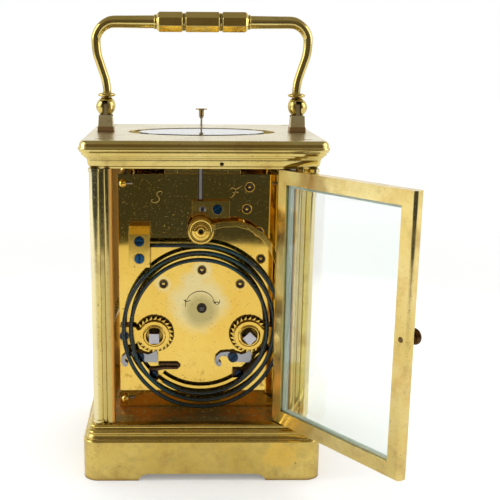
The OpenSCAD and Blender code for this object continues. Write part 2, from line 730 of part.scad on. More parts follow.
module repeat_spring() {
  turns = 6;
  steps = 12;
  rise = spring_l - 0.2 - 2 * spring_wire_r;
  color(steel) wire([for (i = [0:turns * steps]) let (a = 360 * i / steps) [button_x + spring_r * cos(a),
    button_y + spring_r * sin(a), spring_seat_z + 0.1 + spring_wire_r + rise * i / (turns * steps)]],
    spring_wire_r, 6, [0, 0, 1]);
}

// A flat bar in X and Z through points, with a width at each point and round ends
function turned(d, a) = [d[0] * cos(a) - d[1] * sin(a), d[0] * sin(a) + d[1] * cos(a)];
module bar(points, widths) {
  last = len(points) - 1;
  way = [for (i = [0:last]) let (d = points[min(i + 1, last)] - points[max(i - 1, 0)]) d / norm(d)];
  polygon([for (i = [0:last]) points[i] + turned(way[i], 90) * widths[i] / 2,
    for (a = [60:-30:-60]) points[last] + turned(way[last], a) * widths[last] / 2,
    for (i = [last:-1:0]) points[i] + turned(way[i], -90) * widths[i] / 2,
    for (a = [240:-30:120]) points[0] + turned(way[0], a) * widths[0] / 2]);
}

tab_t = 1;
lever_y = front_plate_y - 0.5;
lever_t = 1.1;

module repeat_lever() {
  tab_z = stem_bottom - gap - tab_t;
  color(steel) {
    slab(lever_y - lever_t, lever_y) difference() {
      bar([lever_axis, [button_x + 1, tab_z + 0.6]], [5, 2.6]);
      translate(lever_axis) circle(r = 1 + running_play);
    }
    translate([button_x - 1.6, button_y - 0.6, tab_z]) cube([3.6, lever_y - button_y + 0.6, tab_t]);
  }
}

// ---------------------------------------------------------------------------------------------
// Dial side

dial_back = front_plate_y - 10;
dial_t = 1.2;
dial_front = dial_back - dial_t;
mask_t = 0.8;
mask_w = plate_w - 1.2;
mask_bottom = base_top + 2;
mask_top = stem_bottom - gap - tab_t - button_travel - 1;
foot_r = 0.9;
dial_feet = [for (a = [20, 100, 240]) centre_axis + 24 * [cos(a), sin(a)]];
mask_feet = [for (x = [-1, 1]) for (z = [mask_bottom + 2, mask_top - 2]) [x * (mask_w / 2 - 5), z]];
pipe_r = 2.1;
centre_front_r = 1.2;
hour_hand_y = dial_front - 1.4;
minute_hand_y = hour_hand_y - 1.6;
hand_t = 0.5;

module dial() {
  color("white") {
    slab(dial_front, dial_back) translate(centre_axis) difference() {
      circle(r = dial_r, $fn = 96);
      circle(r = pipe_r + gap);
    }
    for (p = dial_feet) rod(p, dial_back, front_plate_y, foot_r);
  }
}

module dial_mask() {
  color(gilt) {
    slab(dial_front - mask_t, dial_front) difference() {
      translate([-mask_w / 2, mask_bottom]) square([mask_w, mask_top - mask_bottom]);
      translate(centre_axis) circle(r = dial_window_r, $fn = 96);
    }
    for (p = mask_feet) rod(p, dial_front, front_plate_y, foot_r);
  }
}

// Spade hour hand that points to ten, and a tapering minute hand that points to two
module hour_hand() {
  a = 90 + 360 * 1.83 / 12;
  tip = hour_hand_l;
  color(blued) slab(hour_hand_y, hour_hand_y + hand_t) translate(centre_axis) difference() {
    union() {
      circle(r = pipe_r + 0.9);
      rotate(a) polygon([[0, -0.9], [tip - 5, -0.45], [tip - 4.4, -1.9], [tip - 2.6, -2.1], [tip, 0],
        [tip - 2.6, 2.1], [tip - 4.4, 1.9], [tip - 5, 0.45], [0, 0.9]]);
    }
    circle(r = pipe_r);
  }
}

module minute_hand() {
  a = 90 - 360 * 10 / 60;
  color(blued) slab(minute_hand_y, minute_hand_y + hand_t) translate(centre_axis) difference() {
    union() {
      circle(r = 2.4);
      rotate(a) polygon([[0, -0.8], [minute_hand_l * 0.8, -0.4], [minute_hand_l, 0],
        [minute_hand_l * 0.8, 0.4], [0, 0.8]]);
    }
    circle(r = centre_front_r);
  }
}

minute_m = pair_module(centre_axis, minute_axis, cannon_n, minute_n);
hour_m = pair_module(centre_axis, minute_axis, minute_pinion_n, hour_n);
minute_y = front_plate_y - 3.4;
hour_y = front_plate_y - 6.2;
snail_y = front_plate_y - 8;

module minute_wheel() {
  phase = mesh_phase(centre_axis, minute_axis, cannon_n, minute_n, 0);
  color(brass) difference() {
    union() {
      slab(minute_y, minute_y + wheel_t) translate(minute_axis) wheel_outline(minute_n, minute_m, phase);
      pinion(minute_axis, hour_y - 0.4, minute_y, minute_pinion_n, hour_m, 0);
    }
    rod(minute_axis, hour_y - 1, front_plate_y, 0.8 + running_play);
  }
}

// The hour wheel's pipe also carries the stepped snail that sets how many hours are struck
module hour_wheel() {
  phase = mesh_phase(minute_axis, centre_axis, minute_pinion_n, hour_n, 0);
  color(brass) difference() {
    union() {
      slab(hour_y, hour_y + wheel_t) translate(centre_axis) wheel_outline(hour_n, hour_m, phase);
      slab(snail_y, snail_y + 1) translate(centre_axis) for (k = [0:11])
        polygon([[0, 0], for (a = [30 * k:10:30 * k + 30]) (8 - 0.38 * k) * [cos(a), sin(a)]]);
      rod(centre_axis, hour_hand_y - 0.3, hour_y + wheel_t, pipe_r);
    }
    rod(centre_axis, hour_hand_y - 1, front_plate_y, centre_front_r + running_play);
  }
}

module rack() {
  r = 30;
  color(brass) difference() {
    union() {
      slab(front_plate_y - 1.6, front_plate_y - 0.5) translate(rack_axis) circle(r = 3);
      slab(front_plate_y - 1.5, front_plate_y - 0.6) translate(rack_axis)
        bar([[0, 0], (r - 2) * [cos(95), sin(95)]], [4.4, 2.6]);
      slab(front_plate_y - 1.4, front_plate_y - 0.7) translate(rack_axis)
        bar([[0, 0], 18 * [cos(18), sin(18)]], [4.4, 2]);
      slab(front_plate_y - 1.6, front_plate_y - 0.5) translate(rack_axis)
        polygon([for (a = [107:-2:83]) (r - 4) * [cos(a), sin(a)],
          for (a = [83:2:105]) for (p = [[r - 1.2, 0], [r, 0.2], [r - 1.2, 1.9]])
            p[0] * [cos(a + p[1]), sin(a + p[1])]]);
    }
    rod(rack_axis, front_plate_y - 2, front_plate_y, 1 + running_play);
  }
}

// ---------------------------------------------------------------------------------------------
// Plates

train_axes = [second_axis, third_axis, fourth_axis, strike_second_axis, pin_axis, gathering_axis,
  warning_axis, fly_axis];
barrel_front_r = 1.5;
barrel_back_r = 3;
setting_r = 2;
hammer_arbor_r = 1.2;
cock_hole_r = 2.2;
tenon_r = 1.5;
cock_level = back_plate_y + 2.6;
cock_plate_t = 1.2;
plate_screw_r = 1.1;
click_t = 1.8;
click_spring_t = 1.6;
contrate_cock_t = 3;
ratchet_n = 24;
ratchet_tooth = 1.6;
click_at = [6.5, -10];
cock_screw_at = [12.6, 0];
gong_screws = [centre_axis + [25.6, 30.2], centre_axis + [25.6, 23.1]];
contrate_screw = contrate_axis + [-6, 0];
spring_screws = [time_axis + [0.4, -17.8], strike_axis + [3.6, -17.4]];

module plate_blank(y) {
  translate([-plate_w / 2, y, base_top]) cube([plate_w, plate_t, plate_h]);
}

module front_plate() {
  color(brass) {
    difference() {
      plate_blank(front_plate_y);
      for (p = concat(train_axes, [contrate_axis, hammer_axis]))
        rod(p, front_plate_y - 1, front_in + 1, pivot_r + running_play);
      for (p = [time_axis, strike_axis])
        rod(p, front_plate_y - 1, front_in + 1, barrel_front_r + running_play);
      rod(centre_axis, front_plate_y - 1, front_in + 1, centre_front_r + running_play);
      for (p = concat(dial_feet, mask_feet)) rod(p, front_plate_y - 1, front_in + 1, foot_r + screw_play);
      for (p = pillar_spots) rod(p, front_plate_y - 1, front_in + 1, tenon_r + screw_play);
    }
    rod(minute_axis, hour_y - 0.6, front_plate_y, 0.8);
    rod(rack_axis, front_plate_y - 1.9, front_plate_y, 1);
    rod(lever_axis, front_plate_y - 1.9, front_plate_y, 1);
  }
}

module back_plate() {
  color(gilt) difference() {
    plate_blank(back_in);
    for (p = train_axes) {
      rod(p, back_in - 1, back_plate_y + 1, pivot_r + running_play);
      rod(p, back_plate_y - 0.5, back_plate_y + 1, 1.7);
    }
    for (p = [time_axis, strike_axis]) {
      rod(p, back_in - 1, back_plate_y + 1, barrel_back_r + running_play);
      rod(p + click_at, back_in - 1, back_plate_y + 1, plate_screw_r + screw_play);
    }
    rod(centre_axis, back_in - 1, back_plate_y + 1, setting_r + running_play);
    rod(contrate_axis, back_in - 1, back_plate_y + 1, cock_hole_r);
    rod(hammer_axis, back_in - 1, back_plate_y + 1, hammer_arbor_r + running_play);
    for (p = pillar_spots) rod(p, back_in - 1, back_plate_y + 1, tenon_r + screw_play);
    for (p = concat(gong_screws, spring_screws,
        [contrate_screw, time_axis + cock_screw_at, strike_axis - cock_screw_at]))
      rod(p, back_in - 1, back_plate_y + 1, plate_screw_r + screw_play);
  }
}

module plate_pillars() {
  color(brass) for (p = pillar_spots) difference() {
    union() {
      translate([p[0], back_in, p[1]]) rotate([90, 0, 0]) rotate_extrude()
        polygon([[0, 0], [3, 0], [3, 2], [2.2, 2.6], [2.7, 5], [2.7, plate_gap - 5], [2.2, plate_gap - 2.6],
          [3, plate_gap - 2], [3, plate_gap], [0, plate_gap]]);
      rod(p, front_plate_y, front_in + 0.5, tenon_r);
      rod(p, back_in - 0.5, back_plate_y + 1.6, tenon_r);
      translate([p[0], back_plate_y + 1.6, p[1]]) sphere(r = tenon_r);
    }
    translate([p[0] - 4, back_plate_y + 0.55, p[1]]) rotate([0, 90, 0]) cylinder(r1 = 0.5, r2 = 0.4, h = 8);
    if (p[1] < axis_z) translate([p[0], 0, base_top - 1])
      cylinder(r = screw_r + screw_play, h = p[1] - base_top + 1.5);
  }
}

module taper_pins() {
  color(steel) for (p = pillar_spots) translate([p[0] - 4, back_plate_y + 0.55, p[1]]) rotate([0, 90, 0]) {
    from = p[0] > 0 ? 0 : 2;
    translate([0, 0, from]) cylinder(r1 = 0.5 - from / 80, r2 = 0.5 - (from + 6) / 80, h = 6);
  }
}

// ---------------------------------------------------------------------------------------------
// Back plate fittings

module winding_cocks() {
  color(gilt) for (s = [1, -1]) translate([s * time_axis[0], 0, time_axis[1]]) difference() {
    union() {
      slab(cock_level, cock_level + cock_plate_t) {
        circle(r = 5.6);
        scale([s, 1]) translate([0, -3.9]) square([14.4, 7.8]);
      }
      slab(back_plate_y, cock_level) scale([s, 1]) translate([9, -3.9]) square([5.4, 7.8]);
    }
    rod([0, 0], back_plate_y, cock_level + 2, 3.4);
    rod([s * cock_screw_at[0], 0], back_plate_y - 1, cock_level + 2, plate_screw_r + screw_play);
  }
}

// A click: beak towards the ratchet's underside, round boss, scrolled tail; drawn about the winding axis
module click() {
  difference() {
    slab(back_plate_y + gap, back_plate_y + click_t) {
      polygon([[-0.7, -7], [1, -8.25], [2.8, -8.9], [6.5, -7.8], [6.5, -12.2], [-1.3, -12.4], [-1.3, -9]]);
      bar([click_at, [9, -8.7], [11.4, -8.8], [13.1, -10.3], [13.3, -12.1], [12.4, -13.2]],
        [4.4, 2, 1.6, 1.5, 1.7, 2.2]);
    }
    rod(click_at, back_plate_y, back_plate_y + 3, plate_screw_r + running_play);
  }
}
module time_click() {
  color(steel) translate([time_axis[0], 0, time_axis[1]]) click();
}
module strike_click() {
  color(steel) translate([strike_axis[0], 0, strike_axis[1]]) click();
}

module ratchet() {
  step = 360 / ratchet_n;
  points = [for (i = [0:ratchet_n - 1])
    for (p = [[ratchet_r - ratchet_tooth, 262 + step * i], [ratchet_r, 262 + step * (i + 1) - 0.4]])
      p[0] * [cos(p[1]), sin(p[1])]];
  slab(back_plate_y + gap + 0.1, back_plate_y + gap + 0.1 + click_t) polygon(points);
}
module time_ratchet() {
  color(gilt) translate([time_axis[0], 0, time_axis[1]]) difference() {
    ratchet();
    square_rod([0, 0], back_plate_y, back_plate_y + 3, square_w + 0.1, 0);
  }
}
module strike_ratchet() {
  color(gilt) translate([strike_axis[0], 0, strike_axis[1]]) difference() {
    ratchet();
    square_rod([0, 0], back_plate_y, back_plate_y + 3, square_w + 0.1, 45);
  }
}

module click_springs() {
  color(blued) {
    difference() {
      union() {
        slab(back_plate_y, back_plate_y + click_spring_t) translate(spring_screws[0])
          square([3.6, 5.4], center = true);
        slab(back_plate_y + gap, back_plate_y + click_spring_t) translate(time_axis)
          bar([[-0.6, -15.6], [-4, -15.1], [-9.6, -15.1], [-10.6, -14.2], [-9.6, -13.3], [-1.9, -13.3]],
            [1.2, 1, 0.8, 0.8, 0.8, 0.8]);
      }
      rod(spring_screws[0], back_plate_y - 1, back_plate_y + 3, plate_screw_r + screw_play);
    }
    difference() {
      union() {
        slab(back_plate_y, back_plate_y + click_spring_t) translate(spring_screws[1])
          square([5.8, 3.8], center = true);
        slab(back_plate_y + gap, back_plate_y + click_spring_t) translate(strike_axis)
          bar([[1.2, -16.4], [-1.4, -13.8], [-5, -10.3], [-8.5, -6], [-8.3, -5.2], [-7.5, -5.6],
            [-5.2, -7.5], [-2.3, -9.1]],
            [1.4, 1.2, 1, 0.8, 0.8, 0.8, 0.8, 0.8]);
      }
      rod(spring_screws[1], back_plate_y - 1, back_plate_y + 3, plate_screw_r + screw_play);
    }
  }
}

gong_y = back_plate_y + 5.5;
block_front = gong_y + 3;
gong_at = centre_axis + [0.45, -7.65];
block_low = [21.4, centre_axis[1] + 19.4];
block_size = [8.4, 16.6];
tail_z = gong_at[1] + gong_b;

module contrate_cock() {
  color(gilt) slab(back_plate_y, back_plate_y + contrate_cock_t) difference() {
    translate(contrate_axis + [-10.9, -3.7]) square([15.2, 7]);
    translate(contrate_axis) circle(r = pivot_r + running_play);
    translate(contrate_screw) circle(r = plate_screw_r + screw_play);
  }
}

module gong_block() {
  color(gilt) difference() {
    translate([block_low[0], 0, block_low[1]]) rotate([90, 0, 90]) linear_extrude(block_size[0])
      polygon([[back_plate_y, 0], [block_front, 0], [block_front, block_size[1] - 3],
        [block_front - 3, block_size[1]], [back_plate_y, block_size[1]]]);
    for (p = gong_screws) rod(p, back_plate_y - 1, block_front + 1, plate_screw_r + screw_play);
    translate([block_low[0] - 1, gong_y, tail_z]) rotate([0, 90, 0])
      cylinder(r = gong_wire_r + screw_play, h = 6);
  }
}

// The gong: a flat oval coil of wire whose outer end runs straight into its block
module gong() {
  steps = 36;
  turns = 2.6;
  path = concat([[block_low[0] + 4, gong_y, tail_z], [block_low[0] - 4, gong_y, tail_z], [9, gong_y, tail_z]],
    [for (i = [0:turns * steps]) let (t = i / steps, a = 90 + 360 * t)
      [gong_at[0] + (gong_a - gong_pitch * t) * cos(a), gong_y,
        gong_at[1] + (gong_b - gong_pitch * t) * sin(a)]]);
  color(blued) wire(path, gong_wire_r, 8);
}

// Circle on which the lifting pins stand on their wheel
pin_circle_r = 7.3;
hammer_head = hammer_axis + [32.8, 22.95];
hammer_y = gong_y - 1.3;

module hammer() {
  color(brass) {
    rod(hammer_axis, front_in + 0.2, hammer_y + 0.5, hammer_arbor_r);
    rod(hammer_axis, front_plate_y + 0.1, front_in + 1, pivot_r);
    slab(hammer_y, hammer_y + 2) translate(hammer_axis)
      bar([[0, 0], [1.1, 8.5], [3.7, 15], [7.6, 20], [12.5, 23.6], [18, 25.2], [24, 25], [29, 23.6],
        hammer_head - hammer_axis], [4.4, for (k = [1:8]) 2.2]);
    difference() {
      rod(hammer_head, hammer_y, hammer_y + hammer_l, hammer_r);
      rod(hammer_head, hammer_y + hammer_l - 1.5, hammer_y + hammer_l + 1, 1);
    }
    // Tail that the pins lift
    slab(pin_y + wheel_t + 0.5, pin_y + wheel_t + 1.9) translate(hammer_axis)
      rotate(bearing(hammer_axis, pin_axis))
        bar([[0, 0], [norm(pin_axis - hammer_axis) - pin_circle_r - 1.4, 0]], [3.4, 1.2]);
  }
}

module plate_screws() {
  color(blued) {
    for (k = [0, 1]) plate_screw(gong_screws[k], block_front, 2, 0.8, plate_screw_r,
      block_front - back_in, 90 * k);
    plate_screw(contrate_screw, back_plate_y + contrate_cock_t, 2, 0.9, plate_screw_r,
      contrate_cock_t + plate_t, 30);
    for (s = [1, -1]) {
      plate_screw([s * (time_axis[0] + cock_screw_at[0]), time_axis[1]], cock_level + cock_plate_t,
        1.9, 0.6, plate_screw_r, cock_level + cock_plate_t - back_in, 70);
      plate_screw([s * time_axis[0] + click_at[0], time_axis[1] + click_at[1]], back_plate_y + click_t + gap,
        2.1, 0.8, plate_screw_r, click_t + gap + plate_t, s > 0 ? 0 : 50);
    }
    for (k = [0, 1]) plate_screw(spring_screws[k], back_plate_y + click_spring_t, 1.7, 0.8, plate_screw_r,
      click_spring_t + plate_t, 30 + 50 * k);
  }
}

// ---------------------------------------------------------------------------------------------
// Platform escapement on the plates' top edges

small_pivot_r = 0.35;
potence_z = contrate_axis[1] + 1.4;
potence_t = 1.4;
wheel_z = platform_top + 1.1;
balance_z = platform_top + 3.6;

module platform() {
  color(gilt) difference() {
    union() {
      translate([-platform_w / 2, platform_y0, plate_top])
        cube([platform_w, platform_y1 - platform_y0, platform_t]);
      translate([-2, escape_at[1] - 5, potence_z]) cube([4, 2.4, plate_top - potence_z]);
      translate([-2, escape_at[1] - 5, potence_z]) cube([4, 6.4, potence_t]);
    }
    translate([escape_at[0], escape_at[1], plate_top - 1]) cylinder(r = 1.2, h = platform_t + 2);
    translate([escape_at[0], escape_at[1], potence_z - 1])
      cylinder(r = small_pivot_r + running_play, h = potence_t + 2);
    for (p = [pallet_at, balance_at]) translate([p[0], p[1], plate_top - 1])
      cylinder(r = small_pivot_r + running_play, h = platform_t + 2);
  }
}

module balance_cock() {
  foot_y = platform_y0 + 1;
  color(gilt) difference() {
    union() {
      translate([-5, foot_y, platform_top]) cube([10, 5, cock_z + cock_t - platform_top]);
      translate([-2.6, foot_y, cock_z]) cube([5.2, balance_at[1] - foot_y, cock_t]);
      translate([balance_at[0], balance_at[1], cock_z]) cylinder(r = 4.2, h = cock_t);
      translate([balance_at[0], balance_at[1], cock_z]) cylinder(r = 2.6, h = index_z - cock_z + 1);
    }
    for (p = [escape_at, pallet_at, balance_at]) translate([p[0], p[1], cock_z - 1])
      cylinder(r = small_pivot_r + running_play, h = 5);
  }
}

index_r = back_plate_y + 1.3 - balance_at[1];

module index_arm() {
  color(steel) translate([balance_at[0], balance_at[1], 0]) rotate(-2.7) {
    difference() {
      union() {
        translate([0, 0, index_z]) cylinder(r = 4, h = 0.8);
        translate([-1, 3, index_z]) cube([2, index_r - 3 + 0.35, 0.8]);
      }
      translate([0, 0, index_z - 1]) cylinder(r = 2.6 + running_play, h = 3);
    }
    translate([-1, index_r - 0.35, contrate_axis[1] + 3.7])
      cube([2, 0.7, index_z + 0.8 - contrate_axis[1] - 3.7]);
  }
}

// Club-toothed escape wheel on its upright arbor, with the pinion that the contrate wheel drives
module escape_wheel() {
  root = escape_r - 1.1;
  points = [for (i = [0:escape_n - 1])
    for (p = [[root, 0], [escape_r - 0.1, 9], [escape_r, 11.5], [escape_r - 0.25, 12.5], [root, 8]])
    p[0] * [cos(360 * i / escape_n + p[1]), sin(360 * i / escape_n + p[1])]];
  mesh_z = contrate_axis[1] + contrate_r;
  color(brass) translate([escape_at[0], escape_at[1], 0]) {
    translate([0, 0, wheel_z]) linear_extrude(0.8) difference() {
      polygon(points);
      for (k = [0:3]) rotate(90 * k + 45) translate([1.75, 0]) circle(r = 0.65, $fn = 24);
    }
    translate([0, 0, mesh_z - 2]) linear_extrude(4)
      pinion_outline(escape_pinion_n, 2 * escape_pinion_r / escape_pinion_n, 90 + 180 / escape_pinion_n);
    translate([0, 0, potence_z + potence_t + 0.2])
      cylinder(r = 0.6, h = cock_z - potence_z - potence_t - 0.4);
    translate([0, 0, potence_z + 0.2]) cylinder(r = small_pivot_r, h = cock_z + cock_t - potence_z - 0.4);
  }
}

module pallet_fork() {
  stone_r = escape_r + 1;
  color(steel) translate([pallet_at[0], pallet_at[1], 0]) {
    translate([0, 0, wheel_z]) linear_extrude(0.9) {
      circle(r = 0.45);
      for (s = [-1, 1]) {
        stone = escape_at - pallet_at + stone_r * [s * sin(31), cos(31)];
        bar([[0, 0], [s * 1.9, -0.2], stone], [0.9, 0.9, 0.7]);
      }
      bar([[0, 0], [0, 5.2]], [0.9, 0.8]);
      for (s = [-1, 1]) bar([[0, 5.2], [s * 0.75, 5.8], [s * 0.8, 6.4]], [0.8, 0.5, 0.4]);
    }
    translate([0, 0, platform_top + 0.2]) cylinder(r = 0.45, h = cock_z - platform_top - 0.4);
    translate([0, 0, plate_top + 0.2]) cylinder(r = small_pivot_r, h = cock_z + cock_t - plate_top - 0.4);
  }
}

module balance_wheel() {
  color(gilt) translate([balance_at[0], balance_at[1], 0]) {
    translate([0, 0, balance_z]) linear_extrude(1.1) {
      difference() {
        circle(r = balance_r, $fn = 64);
        circle(r = balance_r - 1.1, $fn = 64);
      }
      rotate(35) square([2 * balance_r - 1, 1.3], center = true);
      circle(r = 1.5);
    }
    translate([0, 0, wheel_z + 1.6]) cylinder(r = 1.9, h = 0.5);
    rotate(125) translate([0, 1.4, wheel_z + 1]) cylinder(r = 0.3, h = 0.7);
    translate([0, 0, platform_top + 0.2]) cylinder(r = 0.7, h = cock_z - platform_top - 0.4);
    translate([0, 0, plate_top + 0.2]) cylinder(r = small_pivot_r, h = cock_z + cock_t - plate_top - 0.4);
  }
}

module hairspring() {
  color(blued) translate([balance_at[0], balance_at[1], balance_z + 1.8]) linear_extrude(0.4)
    spiral_strip(1.1, 3.6, 6, 24, 0.14);
}

// ---------------------------------------------------------------------------------------------
// Going train

barrel_m = pair_module(time_axis, second_axis, barrel_n, second_pinion_n);
second_m = pair_module(second_axis, centre_axis, second_n, centre_pinion_n);
centre_m = pair_module(centre_axis, third_axis, centre_n, third_pinion_n);
third_m = pair_module(third_axis, fourth_axis, third_n, fourth_pinion_n);
fourth_m = pair_module(fourth_axis, contrate_axis, fourth_n, contrate_pinion_n);
barrel_wall = 1;
barrel_arbor_r = 2;
hub_r = 4;

module barrel(at) {
  difference() {
    union() {
      rod(at, rim_y, drum_back, drum_r);
      slab(rim_y, rim_y + rim_t) translate(at) wheel_outline(barrel_n, barrel_m, 0);
    }
    rod(at, rim_y + barrel_wall, drum_back - barrel_wall, drum_r - barrel_wall);
    rod(at, rim_y - 1, drum_back + 1, barrel_arbor_r + running_play);
  }
}
module mainspring(at) {
  slab(rim_y + barrel_wall + 0.4, drum_back - barrel_wall - 0.4) translate(at)
    spiral_strip(hub_r + 0.8, drum_r - barrel_wall - 0.5, 8, 18, mainspring_t);
}
module winding_arbor(at, turn) {
  rod(at, front_plate_y + 0.1, front_in + 0.5, barrel_front_r);
  rod(at, front_in + 0.2, back_in, barrel_arbor_r);
  rod(at, rim_y + barrel_wall + 0.3, drum_back - barrel_wall - 0.3, hub_r);
  rod(at, drum_back + gap, back_plate_y + 0.2, barrel_back_r);
  square_rod(at, back_plate_y, back_plate_y + 8, square_w, turn);
}

module time_barrel() { color(gilt) barrel(time_axis); }
module strike_barrel() { color(gilt) barrel(strike_axis); }
module time_mainspring() { color(steel) mainspring(time_axis); }
module strike_mainspring() { color(steel) mainspring(strike_axis); }
module time_winding_arbor() { color(steel) winding_arbor(time_axis, 0); }
module strike_winding_arbor() { color(steel) winding_arbor(strike_axis, 45); }

// An arbor with a pinion that is driven by the wheel before it, and a crossed wheel of its own
module train_wheel(at, from, n_from, phase_from, leaves, m, leaf_y, leaf_t, wheel_y, n, wheel_m) {
  arbor(at, arbor_r);
  pinion(at, leaf_y - 0.4, leaf_y + leaf_t + 0.4, leaves, m,
    mesh_phase(from, at, n_from, leaves, phase_from));
  crossed_wheel(at, wheel_y, n, wheel_m, 0);
}

module second_wheel() {
  color(gilt) train_wheel(second_axis, time_axis, barrel_n, 0, second_pinion_n, barrel_m, rim_y, rim_t,
    second_y, second_n, second_m);
}
module third_wheel() {
  color(gilt) train_wheel(third_axis, centre_axis, centre_n, 0, third_pinion_n, centre_m, centre_y, wheel_t,
    third_y, third_n, third_m);
}
module fourth_wheel() {
  color(gilt) train_wheel(fourth_axis, third_axis, third_n, 0, fourth_pinion_n, third_m, third_y, wheel_t,
    fourth_y, fourth_n, fourth_m);
}

// The centre arbor turns once an hour: hand-setting square behind, cannon pinion and minute hand in front
module centre_wheel() {
  color(gilt) {
    rod(centre_axis, front_in + 0.2, back_in - 0.2, 1.5);
    rod(centre_axis, minute_hand_y - 0.6, front_in + 0.5, centre_front_r);
    rod(centre_axis, back_in - 0.5, back_plate_y - 0.8, setting_r);
    square_rod(centre_axis, back_plate_y - 1, back_plate_y + 0.6, 2.4, 10);
    pinion(centre_axis, minute_y - 1, front_plate_y - 2, cannon_n, minute_m, 0);
    pinion(centre_axis, second_y - 0.4, second_y + wheel_t + 0.4, centre_pinion_n, second_m,
      mesh_phase(second_axis, centre_axis, second_n, centre_pinion_n, 0));
    crossed_wheel(centre_axis, centre_y, centre_n, centre_m, 0);
  }
}

// The contrate wheel's teeth stand forward from its rim, towards the upright escape pinion
module contrate_wheel() {
  color(gilt) {
    rod(contrate_axis, front_in + 0.2, back_plate_y - 0.2, arbor_r);
    rod(contrate_axis, front_plate_y + 0.1, back_plate_y + contrate_cock_t - 0.1, pivot_r);
    pinion(contrate_axis, fourth_y - 0.4, fourth_y + wheel_t + 0.4, contrate_pinion_n, fourth_m,
      mesh_phase(fourth_axis, contrate_axis, fourth_n, contrate_pinion_n, 0));
    slab(contrate_y, contrate_y + 1) translate(contrate_axis) circle(r = contrate_r + 0.5);
    slab(contrate_y - 1.3, contrate_y + 0.5) translate(contrate_axis) difference() {
      circle(r = contrate_r + 0.5);
      circle(r = contrate_r - 0.5);
    }
    slab(contrate_y - 2.4, contrate_y - 1.2) translate(contrate_axis) for (k = [0:contrate_n - 1])
      rotate(360 * k / contrate_n) translate([contrate_r, 0]) square([0.9, 0.38], center = true);
  }
}

// ---------------------------------------------------------------------------------------------
// Striking train

strike_m = pair_module(strike_second_axis, pin_axis, strike_second_n, pin_pinion_n);
pin_m = pair_module(pin_axis, gathering_axis, pin_n, gathering_pinion_n);
gathering_m = pair_module(gathering_axis, warning_axis, gathering_n, warning_pinion_n);
warning_m = pair_module(warning_axis, fly_axis, warning_n, fly_pinion_n);

module strike_second_wheel() {
  color(gilt) train_wheel(strike_second_axis, strike_axis, barrel_n, 0, second_pinion_n, barrel_m,
    rim_y, rim_t, second_y, strike_second_n, strike_m);
}
module pin_wheel() {
  color(gilt) {
    train_wheel(pin_axis, strike_second_axis, strike_second_n, 0, pin_pinion_n, strike_m, second_y, wheel_t,
      pin_y, pin_n, pin_m);
    for (k = [0:7]) rod(pin_axis + pin_circle_r * [cos(45 * k), sin(45 * k)],
      pin_y + wheel_t / 2, pin_y + wheel_t + 2, 0.45);
    slab(pin_y, pin_y + wheel_t) translate(pin_axis) difference() {
      circle(r = pin_circle_r + 0.6);
      circle(r = pin_circle_r - 0.6);
    }
  }
}
module gathering_wheel() {
  color(gilt) train_wheel(gathering_axis, pin_axis, pin_n, 0, gathering_pinion_n, pin_m, pin_y, wheel_t,
    gathering_y, gathering_n, gathering_m);
}
module warning_wheel() {
  color(gilt) train_wheel(warning_axis, gathering_axis, gathering_n, 0, warning_pinion_n, gathering_m,
    gathering_y, wheel_t, warning_y, warning_n, warning_m);
}
module fly() {
  color(brass) {
    arbor(fly_axis, 0.7);
    pinion(fly_axis, warning_y - 0.4, warning_y + wheel_t + 0.4, fly_pinion_n, warning_m,
      mesh_phase(warning_axis, fly_axis, warning_n, fly_pinion_n, 0));
    translate([fly_axis[0], 0, fly_axis[1]]) rotate([0, 30, 0]) translate([-4, warning_y + 3, -0.25])
      cube([8, 8.5, 0.5]);
  }
}

// ---------------------------------------------------------------------------------------------
base();
case_pillars();
cornice();
case_glasses();
case_screws();
door_frame();
door_glass();
door_knob();
door_hinge_pins();
handle();
handle_lugs();
handle_pins();
repeat_button();
repeat_spring();
repeat_lever();
dial_mask();
dial();
hour_hand();
minute_hand();
front_plate();
back_plate();
plate_pillars();
taper_pins();
winding_cocks();
time_click();
strike_click();
click_springs();
plate_screws();
contrate_cock();
gong();
gong_block();
hammer();
index_arm();
platform();
balance_cock();
escape_wheel();
pallet_fork();
balance_wheel();
hairspring();
time_barrel();
time_mainspring();
time_winding_arbor();
time_ratchet();
strike_barrel();
strike_mainspring();
strike_winding_arbor();
strike_ratchet();
second_wheel();
centre_wheel();
third_wheel();
fourth_wheel();
contrate_wheel();
minute_wheel();
hour_wheel();
strike_second_wheel();
pin_wheel();
gathering_wheel();
warning_wheel();
fly();
rack();
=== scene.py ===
# %% [markdown]
# # A brass carriage clock with its back door open
# This notebook dresses a finished clock frame: every rigid part is already cut to size and already moves.
# The lesson is about metal. Polished brass has almost no colour of its own, it shows the room, so the work
# goes into soft bevels, small stains and pits, and a room that is worth reflecting.

